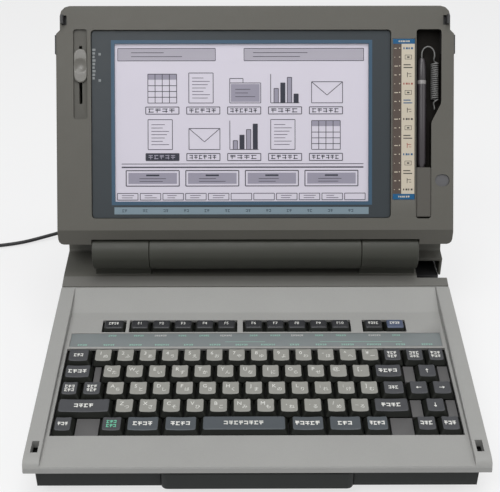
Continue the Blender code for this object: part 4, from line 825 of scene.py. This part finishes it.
# Key plate: the black tray below the caps, with a stem under each key that is fixed here
plate_plastic = surface("plate_plastic", (0.012, 0.012, 0.013), 0.6, 0.2, 1500)
filler_plastic = surface("filler_plastic", (0.098, 0.096, 0.096), 0.55, 0.2, 1700)
plate_half, plate_start, plate_end, plate_top = mm(166.7, 28, 168, -7.5)
plate_wall = 2 * MM
stem, stem_top, stem_foot = 3 * MM, -3 * MM, plate_top - 1 * MM
bm = bmesh.new()
block(bm, (-plate_half, plate_start, plate_top - plate_wall), (plate_half, plate_end, plate_top))
for left, right, front, back in (
        (-plate_half, plate_half, plate_start, plate_start + plate_wall),
        (-plate_half, plate_half, plate_end - plate_wall, plate_end),
        (-plate_half, plate_wall - plate_half, plate_start, plate_end),
        (plate_half - plate_wall, plate_half, plate_start, plate_end)):
    block(bm, (left, front, stem_foot), (right, back, -2.9 * MM))
stem_places = [(row_starts[row] + index * key_pitch, row_reach(row))
               for row, text in enumerate(letters) for index in range(len(text))]
stem_places += [((left + right) / 2 * MM, row_reach(row)) for row, left, right, _ in dark_keys]
stem_places += [(left + wide / 2, function_reach) for left, wide in function_list]
for x, y in stem_places:
    block(bm, (x - stem, y - stem, stem_foot), (x + stem, y + stem, stem_top))
for row, left, right in fillers:
    reach = row_reach(row)
    block(bm, (left * MM, reach - half_key, stem_foot),
          (right * MM, reach + half_key, -1 * MM), 0.4 * MM, material=1)
make("key_tray", bm, [plate_plastic, filler_plastic], "base", DECK,
     stands_for="key_plate")

# Keys with a joint of their own: name, row, left and right edge in millimetres, and the
# number of signs, or for the arrow keys none
single_keys = (
    ("tab", 3, -162.0, -137.6, 4), ("return", 3, 98.0, 123.4, 4),
    ("shift_left", 1, -162.0, -117.0, 4), ("shift_right", 1, 93.2, 124.2, 4),
    ("up", 3, 134.2, 152.4, 0), ("left", 2, 124.4, 142.6, 0), ("right", 2, 143.6, 162.0, 0),
    ("down", 1, 135.2, 153.4, 0), ("mode", 0, -104.5, -76.0, 4), ("word", 0, -74.6, -46.0, 4),
    ("space", 0, -45.0, 24.5, 8), ("convert", 0, 26.0, 54.6, 5), ("next", 0, 55.6, 84.2, 3),
    ("menu", 0, 85.2, 105.6, 4), ("cancel", 0, 125.4, 143.4, 3), ("run", 0, 144.4, 162.0, 3))
arrow_turns = {"up": 90, "left": 180, "right": 0, "down": 270}
bar_keys = ("mode", "word", "space", "convert", "next", "menu")
stem_length = 9 * MM
for index, (name, row, left, right, count) in enumerate(single_keys):
    left, right, reach = left * MM, right * MM, row_reach(row)
    middle, base = (left + right) / 2, key_top - key_height
    dip = 0 if name == "space" else cap_dip
    bm = bmesh.new()
    keycap(bm, left, right, reach, half_key, dip=dip)
    block(bm, (middle - stem, reach - stem, base - stem_length),
          (middle + stem, reach + stem, base + 0.1 * MM))
    known = set(bm.verts)
    if name in arrow_turns:
        arrow(bm, middle, reach, sign_z, arrow_turns[name], 2)
    else:
        word_bars(bm, middle, min((right - left) / 2 - 4 * MM, count * 2 * MM),
                  reach - 1.8 * MM, reach + 2 * MM, sign_z, count, index, 2)
    settle(bm, known, left, right, dip)
    make("cap_" + name, bm, [skirt_plastic, bar_cap if name in bar_keys else dark_cap,
                             white_ink],
         f"key_{name}_body", DECK, stands_for="key_" + name)

# Printer housing: the rear moulding in the lid's warm grey, with the knuckles of the
# hinge on its shelf, vents in its back and the printer's bay in its roof
lid_plastic = surface("lid_plastic", (0.103, 0.099, 0.086), 0.52, 0.30, 1500, spots=0.12)
rear_plastic = surface("rear_plastic", (0.098, 0.096, 0.083), 0.50, 0.28, 1500, spots=0.12)
# Painted shade: the barrel and the knuckles are darkened for the lid's shadow over them
shaded_barrel_plastic = surface("shaded_barrel_plastic", (0.040, 0.041, 0.033), 0.45, 0.2, 1500)
# Painted light: a lighter copy of the rear plastic for the shelf's top faces
lit_shelf_plastic = surface("lit_shelf_plastic", (0.150, 0.148, 0.136), 0.45, 0.28, 1500, spots=0.12)
knuckle_in, knuckle_out, knuckle_radius = mm(96, 150, 21)


def rear_shading(place, normal):
    """Which material a face of the rear moulding gets: the knuckles take the barrel's dark
    painted shade, and the shelf's top faces in front of them are painted lighter, as light."""
    out = math.hypot(place.y - hinge_y, place.z - hinge_z)
    if knuckle_in < abs(place.x) < knuckle_out and out < knuckle_radius:
        return 1
    return 2 if normal.z > 0.7 and place.y < hinge_y else 0


# The knuckles get painted shade and the top of the shelf gets painted light
moulding("printer_housing", "rear_case", rear_plastic, 0.7, "base",
         light_and_shade=[shaded_barrel_plastic, lit_shelf_plastic], within=rear_shading)

# Hinge: a barrel on the lid between the two knuckles, on plain steel pins. Its plastic
# is painted darker as shade under the lid, and a seam runs round each of its ends.
pin_steel = surface("pin_steel", (0.60, 0.60, 0.62), 0.3, 0.08, 700, metallic=1.0,
                    brushed=(1, 20, 20))
moulding("hinge_barrel", "barrel", shaded_barrel_plastic, 0.6, "lid")
for name in ("hinge_pin_left", "hinge_pin_right"):
    moulding(name, name + "_steel", pin_steel, 0.3, "base")

# Disk drive: a dark front with a slot in the machine's right side and an eject button
drive_plastic = surface("drive_plastic", (0.036, 0.036, 0.037), 0.5, 0.25, 1700)
button_plastic = surface("button_plastic", (0.022, 0.022, 0.023), 0.45, 0.2, 1700)
moulding("floppy_drive", "drive", drive_plastic, 0.4, "base")
moulding("disk_eject_button", "eject_button", button_plastic, 0.5, "eject")

# Power switch and inlet: black plastic, in the left side and the back
moulding("power_switch", "slide_switch", button_plastic, 0.5, "switch")
moulding("power_inlet", "mains_socket", button_plastic, 0.3, "base")

# Carrying handle: a dark bar in the front of the bottom case, on two sliding arms
moulding("carry_handle", "handle_bar", case_plastic, 1.0, "handle", 3)

# Inside: a lacquered circuit board and a power supply in a folded steel box
board_lacquer = surface("board_lacquer", (0.020, 0.110, 0.045), 0.35, 0.15, 500, coat=0.4)
supply_steel = surface("supply_steel", (0.55, 0.56, 0.57), 0.4, 0.1, 400, metallic=1.0)
moulding("circuit_board", "main_board", board_lacquer, 0.2, "base")
moulding("power_supply", "supply_box", supply_steel, 0.4, "base")

# Printer: a folded steel chassis with a rod, a rubber platen, a carriage and its ribbon
chassis_steel = surface("chassis_steel", (0.52, 0.52, 0.53), 0.35, 0.1, 600, metallic=1.0)
platen_rubber = surface("platen_rubber", (0.02, 0.02, 0.021), 0.8, 0.3, 1200)
moulding("printer_chassis", "printer_frame", chassis_steel, 0.3, "base")
moulding("carriage_rod", "guide_rod", pin_steel, 0.4, "base")
moulding("platen_roller", "platen", platen_rubber, 0.5, "platen")
moulding("platen_knob", "platen_wheel", button_plastic, 0.5, "platen")
moulding("print_carriage", "carriage_block", drive_plastic, 0.5, "carriage")
moulding("ribbon_cassette", "ribbon_box", button_plastic, 0.5, "carriage")

# Printer cover: a flap in the roof and the paper guide behind its slot
moulding("printer_cover", "cover_flap", rear_plastic, 0.4, "cover")
moulding("paper_guide", "guide_strip", rear_plastic, 0.4, "cover")

# Lid: a back shell and a front bezel, clipped together along a seam. The bezel has the
# beds of the window, the strip and the pen, and the scoops.
moulding("lid_shell", "lid_back", lid_plastic, 0.5, "lid")
# Painted shade: near black in the pen's bay, the latch's pocket and the oval scoop's wall, a
# dark grey on the oval scoop's floor and in the slider's scoop
bay_shade = surface("bay_shade", (0.007, 0.006, 0.005), 0.7, 0.3, 1200, sheen=0.1)
scoop_shade = surface("scoop_shade", (0.088, 0.087, 0.092), 0.35, 0.2, 1500, sheen=0.5)
slot_shade = surface("slot_shade", (0.080, 0.077, 0.067), 0.5, 0.25, 1500)
lid_back_turn = LID.inverted()
lid_facing = LID.to_3x3() @ Vector((0, -1, 0))


def bezel_shading(place, normal):
    """Which material a face of the bezel gets: the pen's bay with the latch's pocket beside it
    is painted dark as shade, and so is the wall of the oval scoop, whose floor is smoother
    and gets a slightly darker painted shade. The slider's scoop is painted a little darker
    than the lid, as shade."""
    x, depth, height = ((lid_back_turn @ place) - Vector((0, lid_face, lid_foot))) / MM
    bay = 144.9 < x < 167.6 and 23 < height < 193.5
    pocket = 165.6 < x < 174.4 and 171 < height < 207
    if 0.4 < depth < 9.9 and (bay or pocket):
        return 1
    if abs(x - 168.6) < 6.7 and abs(height - 57.6) < 5.6 and depth < 1.5:
        return 2 if normal.dot(lid_facing) > 0.9 else 1
    slider_scoop = -163.6 < x < -150.7 and 112.8 < height < 193.8 and 0.3 < depth < 2.4
    return 3 if slider_scoop else 0


moulding("lid_bezel", "lid_front", lid_plastic, 0.45, "lid",
         light_and_shade=[bay_shade, scoop_shade, slot_shade], within=bezel_shading)

# Window: a smoked blue-grey plate round the screen, with a pale blue band of labels
# printed below the view and a blue line along the view's edge
window_plastic = surface("window_plastic", (0.026, 0.033, 0.038), 0.45, 0.04, 1500)
window_blue = surface("window_blue", (0.040, 0.085, 0.135), 0.45)
label_blue = surface("label_blue", (0.190, 0.255, 0.295), 0.5)
mark_ink = surface("mark_ink", (0.230, 0.245, 0.250), 0.5)
dark_ink = surface("dark_ink", (0.060, 0.085, 0.110), 0.5)
moulding("screen_window", "window_plate", window_plastic, 0.3, "lid")
window_front = lid_face + 2.5 * MM
print_lift = 0.06 * MM
# Edges of the view and width of the line round it, in millimetres
screen_left, screen_right, screen_low, screen_high = -126.7, 102.3, 39, 181
border = 3.2


def sheet_block(bm, left, right, low, high, front, material=0, thick=print_lift):
    """A thin printed patch on a plate of the lid, by its edges in millimetres."""
    block(bm, (left * MM, front - thick, along(low * MM)),
          (right * MM, front, along(high * MM)), material=material)


bm = bmesh.new()
for left, right, low, high, ink in (
        (screen_left - border, screen_right + border, screen_high, screen_high + border, 0),
        (screen_left - border, screen_right + border, screen_low - border, screen_low, 0),
        (screen_left - border, screen_left, screen_low, screen_high, 0),
        (screen_right, screen_right + border, screen_low, screen_high, 0),
        (-127.5, 102.5, 27.4, 33.8, 1),
        (-141.2, -139.0, 147, 149.2, 2), (-141.2, -139.0, 170.5, 172.7, 2)):
    sheet_block(bm, left, right, low, high, window_front, ink)
for index in range(9):
    rise = 149 + index * 3.2
    sheet_block(bm, -146.6, -144.6 + index % 3 * 0.4, rise, rise + 2, window_front, 2)
label_ink = bmesh.new()
for index in range(12):
    word_bars(label_ink, (-118 + 18.6 * index) * MM, 2.4 * MM, -1.3 * MM, 1.3 * MM, 0, 2, index)
make("window_print", bm, [window_blue, label_blue, mark_ink], "lid", LID)
make("window_labels", label_ink, [dark_ink], "lid",
     LID @ Matrix.Translation((0, window_front - print_lift, along(30.6 * MM)))
     @ Matrix.Rotation(math.pi / 2, 4, "X"))

# Liquid crystal screen: a pale lilac panel lit from behind, showing a plain page of
# framed boxes with simple signs, drawn in thin grey lines
screen_glass = surface("screen_glass", (0.50, 0.475, 0.535), 0.5, shift=0.03)
screen_shader = screen_glass.node_tree.nodes["Principled BSDF"]
screen_shader.inputs["Emission Color"].default_value = (0.64, 0.61, 0.70, 1)
screen_shader.inputs["Emission Strength"].default_value = 0.20
light_diffuser = surface("light_diffuser", (0.75, 0.75, 0.75), 0.6, 0.1)
line_ink = surface("line_ink", (0.055, 0.053, 0.070), 0.6)
tint_ink = surface("tint_ink", (0.300, 0.285, 0.350), 0.6)
pale_tint = surface("pale_tint", (0.400, 0.380, 0.435), 0.6)
black_ink = surface("black_ink", (0.020, 0.022, 0.035), 0.5)
moulding("lcd_panel", "display", screen_glass, 0.2, "lid")
moulding("lcd_backlight", "light_sheet", light_diffuser, 0.2, "lid")
panel_front = window_front + 2.1 * MM
line, line_lift, tint_lift = mm(0.62, 0.12, 0.03)


def patch(left, low, right, high, ink, lift=1):
    sheet_block(page, left, right, low, high, panel_front, ink, lift * tint_lift)


def stroke(x0, y0, x1, y1, wide=line):
    """A straight line on the screen between two places."""
    start, end = Vector((x0, y0)) * MM, Vector((x1, y1)) * MM
    span = end - start
    known = set(page.verts)
    block(page, (0, -line_lift, -wide / 2), (span.length, 0, wide / 2))
    turn = Matrix.Rotation(-math.atan2(span.y, span.x), 4, "Y")
    bmesh.ops.transform(page, matrix=Matrix.Translation((start.x, panel_front, along(start.y)))
                        @ turn, verts=[v for v in page.verts if v not in known])


def box(left, low, right, high, wide=line):
    for x0, y0, x1, y1 in ((left, low, right, low), (left, high, right, high),
                           (left, low, left, high), (right, low, right, high)):
        stroke(x0, y0, x1, y1, wide)


def rows_of_print(left, low, right, high, rows, seed):
    """Small print inside a box, as broken lines."""
    for index in range(rows):
        end = right - (right - left) * ((index * 5 + seed * 3) % 4) * 0.12
        level = high - (high - low) / rows * (index + 0.5)
        stroke(left, level, end, level, line * 0.8)


def sign_page(x, y, seed):
    box(x, y, x + 22, y + 27)
    rows_of_print(x + 3, y + 3, x + 19, y + 24, 7, seed)


def sign_table(x, y, seed):
    box(x, y, x + 26, y + 26)
    patch(x, y + 21, x + 26, y + 26, 1)
    for step in (1, 2, 3):
        stroke(x + 6.5 * step, y, x + 6.5 * step, y + 26)
        stroke(x, y + 5.2 * step, x + 26, y + 5.2 * step)


def sign_chart(x, y, seed):
    stroke(x, y, x + 26, y)
    stroke(x, y, x, y + 26)
    for step in range(4):
        height = 8 + ((step * 5 + seed * 3) % 4) * 5
        patch(x + 3 + 6 * step, y, x + 7 + 6 * step, y + height, 2 if step % 2 else 1)
        box(x + 3 + 6 * step, y, x + 7 + 6 * step, y + height)


def sign_folder(x, y, seed):
    box(x, y, x + 28, y + 18)
    patch(x + 1, y + 1, x + 27, y + 17, 1)
    box(x, y + 18, x + 12, y + 22)
    rows_of_print(x + 5, y + 4, x + 23, y + 14, 3, seed)


def sign_letter(x, y, seed):
    box(x, y, x + 28, y + 19)
    stroke(x, y + 19, x + 14, y + 7)
    stroke(x + 28, y + 19, x + 14, y + 7)


def label(x, y, wide, seed, dark=False):
    """A box with small print, below a sign."""
    box(x, y, x + wide, y + 6.4, line * 1.2)
    if dark:
        patch(x, y, x + wide, y + 6.4, 2)
    count = 4 + seed % 3
    pitch = (wide - 4.8) / count
    for index in range(count):
        left = x + 2.4 + index * pitch
        kind = (index * 7 + seed * 5) % 4
        dash = y + 1.5 + (0.0, 1.2, 0.6, 1.6)[kind]
        stem = left + pitch * (0.1, 0.3, 0.5, 0.2)[kind]
        for start, low, end, high in ((left, y + 4.3, left + pitch * 0.75, y + 5.0),
                                      (left, dash, left + pitch * 0.75, dash + 0.7),
                                      (stem, y + 1.3, stem + 0.7, y + 5.1)):
            patch(start, low, end, high, 1 if dark else 2, 2)


page = bmesh.new()
for left, right, start, end, seed in ((-124, -36, -112, -66, 1), (-10, 98, -2, 54, 3)):
    box(left, 166, right, 177)
    patch(left + 0.5, 166.5, right - 0.5, 176.5, 3)
    rows_of_print(start, 168, end, 175, 2, seed)
top_signs = (sign_table, sign_page, sign_folder, sign_chart, sign_letter)
low_signs = (sign_page, sign_letter, sign_chart, sign_page, sign_table)
for index, (upper, lower) in enumerate(zip(top_signs, low_signs)):
    x = -97 + 37 * index
    upper(x, 128, index)
    label(x - 2, 118, 30, index)
    lower(x, 86, index + 2)
    label(x - 2, 76, 30, index + 1, index == 0)
stroke(-121, 70, 98, 70, line * 2)
stroke(-121, 73, 98, 73)
for index in range(4):
    left = -117 + 54 * index
    box(left, 53, left + 48, 67, line * 1.4)
    patch(left + 2, 55, left + 46, 65, 1)
    patch(left + 18, 62, left + 30, 63.4, 2, 2)
    rows_of_print(left + 12, 56, left + 36, 61, 2, index)
for index in range(11):
    left = -125 + 20.6 * index
    box(left, 40.4, left + 18.6, 46.4)
    if index not in (5, 6, 10):
        rows_of_print(left + 4, 41.4, left + 15, 45.4, 2, index)
make("screen_page", page, [line_ink, tint_ink, black_ink, pale_tint], "lid", LID)

# Menu strip: a printed card in the bezel, with blue ends, a dark left column and a pale
# right column of short marks
strip_card = surface("strip_card", (0.560, 0.500, 0.400), 0.45)
strip_blue = surface("strip_blue", (0.006, 0.085, 0.200), 0.4)
strip_brown = surface("strip_brown", (0.075, 0.055, 0.045), 0.45)
card_ink = surface("card_ink", (0.050, 0.045, 0.040), 0.5)
red_ink = surface("red_ink", (0.300, 0.080, 0.060), 0.5)
moulding("menu_strip", "menu_card", strip_card, 0.15, "lid")
card_front = lid_face + 0.1 * MM
card_left, card_right, card_low, card_high = 123.9, 143.5, 45.5, 180.2
marks = 17
# The four kinds of mark: left, right, low and high edge of each of its patches
mark_kinds = (
    [(133.2 + 2.3 * column, 134.3 + 2.3 * column + column % 2 * 0.6, -0.9, 0.8)
     for column in range(4)],
    [(136.6, 137.2, -2.2, 2.2), (137.2, 140.4, 0.6, 1.1), (138.6, 140.6, -1.6, -1.1)],
    [(133.4, 141.4, -1.9, -1.0), (133.4, 139.8, 0.6, 1.5)],
    [(134.6, 140.8, -2.0, -1.6), (134.6, 140.8, 1.6, 2.0), (134.6, 135.0, -1.6, 1.6),
     (140.4, 140.8, -1.6, 1.6), (136.6, 138.8, -0.7, 0.6)])


def card_patch(left, right, low, high, ink):
    """A patch on the card. The pale ones lie on another patch, so they stand higher."""
    sheet_block(bm, left, right, low, high, card_front - (print_lift if ink == 2 else 0), ink)


bm = bmesh.new()
card_patch(card_left, card_right, 40.4, card_low, 0)
card_patch(card_left, card_right, card_high, 184.6, 0)
card_patch(card_left, 131.6, card_low, card_high, 1)
for middle in (43, 182.4):
    for index in range(6):
        left = 129 + index * 1.7
        card_patch(left, left + 0.9 + index % 3 * 0.25, middle - 0.7, middle + 0.7, 2)
for index in range(marks):
    middle = card_low + (card_high - card_low) / marks * (index + 0.5)
    card_patch(125.2, 125.8 + (index % 3) * 1.3, middle - 0.5, middle + 0.2, 2)
    card_patch(129.4, 130.4, middle - 0.4, middle + 0.5, 2)
    ink = 4 if index % 7 == 5 else 0 if index % 6 == 4 else 3
    for left, right, low, high in mark_kinds[(index * 5) % 4]:
        card_patch(left, right, middle + low, middle + high, ink)
make("menu_print", bm, [strip_blue, strip_brown, strip_card, card_ink, red_ink], "lid", LID)

# Pen: a slim turned body in dark plastic with a plated ring, a tapered cap and a tip,
# standing in a moulded holder at the foot of its bay
pen_plastic = surface("pen_plastic", (0.034, 0.029, 0.033), 0.30, 0.05, 2500, sheen=0.5)
ring_plate = surface("ring_plate", (0.230, 0.220, 0.215), 0.35, 0.03, 900, sheen=0.5)
tip_plastic = surface("tip_plastic", (0.30, 0.29, 0.28), 0.4)
# Height and radius of each step of the pen, and the finish of the wall above it
pen_steps = ((0, 0.6, 2), (0.5, 1.0, 2), (3, 1.6, 2), (5, 2.75, 0), (18.6, 2.8, 0),
             (21.4, 3.95, 0), (60, 4.0, 0), (92.6, 4.0, 1), (93.0, 4.0, 1), (95.6, 4.0, 1),
             (96, 3.7, 0), (97, 3.95, 0), (108, 3.7, 0), (114, 3.0, 0), (115.6, 2.3, 0),
             (116, 1.2, 0))
bm = bmesh.new()
tip = bmesh.ops.create_circle(bm, cap_ends=True, segments=32, radius=pen_steps[0][1] * MM)
face = tip["verts"][0].link_faces[0]
finish = pen_steps[0][2]
for height, radius, after in pen_steps[1:]:
    known = set(bm.faces) - {face}
    old = max((v.co.xy.length for v in face.verts))
    face = bmesh.ops.extrude_discrete_faces(bm, faces=[face])["faces"][0]
    level = height * MM - face.verts[0].co.z
    bmesh.ops.translate(bm, vec=(0, 0, level), verts=face.verts)
    bmesh.ops.scale(bm, vec=(radius * MM / old, radius * MM / old, 1), verts=face.verts)
    paint(bm, known, finish)
    finish = after
bmesh.ops.holes_fill(bm, edges=[e for e in bm.edges if e.is_boundary])
bmesh.ops.recalc_face_normals(bm, faces=bm.faces)
make("stylus", bm, [pen_plastic, ring_plate, tip_plastic], "pen_body",
     LID @ Matrix.Translation((pen_x, pen_y, along(pen_low))), stands_for="pen")
holder_plastic = surface("holder_plastic", (0.085, 0.080, 0.070), 0.45, 0.25, 1600)
moulding("pen_holder", "pen_stand", holder_plastic, 0.8, "lid", 3)

# Contrast slider and the two latches: small mouldings that slide in the lid. The slider's
# knob has round ends, a rounded rim and a round dish for a fingertip.
knob_plastic = surface("knob_plastic", (0.120, 0.115, 0.101), 0.30, 0.15, 1700, sheen=0.5)
knob_x, knob_height, knob_half, knob_reach, knob_back = mm(-157.15, 161, 5.85, 15, 1.9)
rim_round, dish_deep, dish_across = mm(0.5, 1.25, 6.3)
straight = knob_reach - knob_half
straight_steps = 9
end_angles = (15, 30, 45, 58, 68, 76, 83, 87, 90)
half_shares = (0.2, 0.45, 0.7, 0.9, 0.95, 0.985, 1)


def knob_depth(x, height):
    """How far below the lid's face the knob's front lies at a place on it."""
    inside = knob_half - math.hypot(x, max(0, abs(height) - straight))
    rim = max(0, rim_round - inside)
    dish = dish_deep * max(0, 1 - (x * x + height * height) / dish_across ** 2)
    return rim_round - math.sqrt(max(0, rim_round ** 2 - rim ** 2)) + dish


bm = bmesh.new()
ends = [straight + knob_half * math.sin(math.radians(angle)) for angle in end_angles]
levels = [-height for height in reversed(ends)]
levels += [straight * step / straight_steps
           for step in range(-straight_steps, straight_steps + 1)] + ends
columns = []
for height in levels:
    wide = math.sqrt(max(0, knob_half ** 2 - max(0, abs(height) - straight) ** 2))
    places = [wide * share for share in (*(-s for s in reversed(half_shares)), 0, *half_shares)]
    columns.append([bm.verts.new((x, knob_depth(x, height), height)) for x in places])
for low, high in zip(columns, columns[1:]):
    for index in range(len(low) - 1):
        bm.faces.new((low[index], low[index + 1], high[index + 1], high[index]))
bmesh.ops.remove_doubles(bm, verts=bm.verts, dist=weld_gap)
wall = bmesh.ops.extrude_edge_only(bm, edges=[e for e in bm.edges if e.is_boundary])["geom"]
for vert in (v for v in wall if isinstance(v, bmesh.types.BMVert)):
    vert.co.y = knob_back
bmesh.ops.holes_fill(bm, edges=[e for e in bm.edges if e.is_boundary])
block(bm, (-1.1 * MM, knob_back - 0.3 * MM, -3 * MM), mm(1.1, 9.5, 3))
bmesh.ops.recalc_face_normals(bm, faces=bm.faces)
make("contrast_knob", bm, [knob_plastic], "slider",
     LID @ Matrix.Translation((knob_x, lid_face, along(knob_height))),
     stands_for="contrast_slider")
moulding("latch_left", "latch_hook_left", drive_plastic, 0.5, "latch_l")
moulding("latch_right", "latch_hook_right", drive_plastic, 0.5, "latch_r")
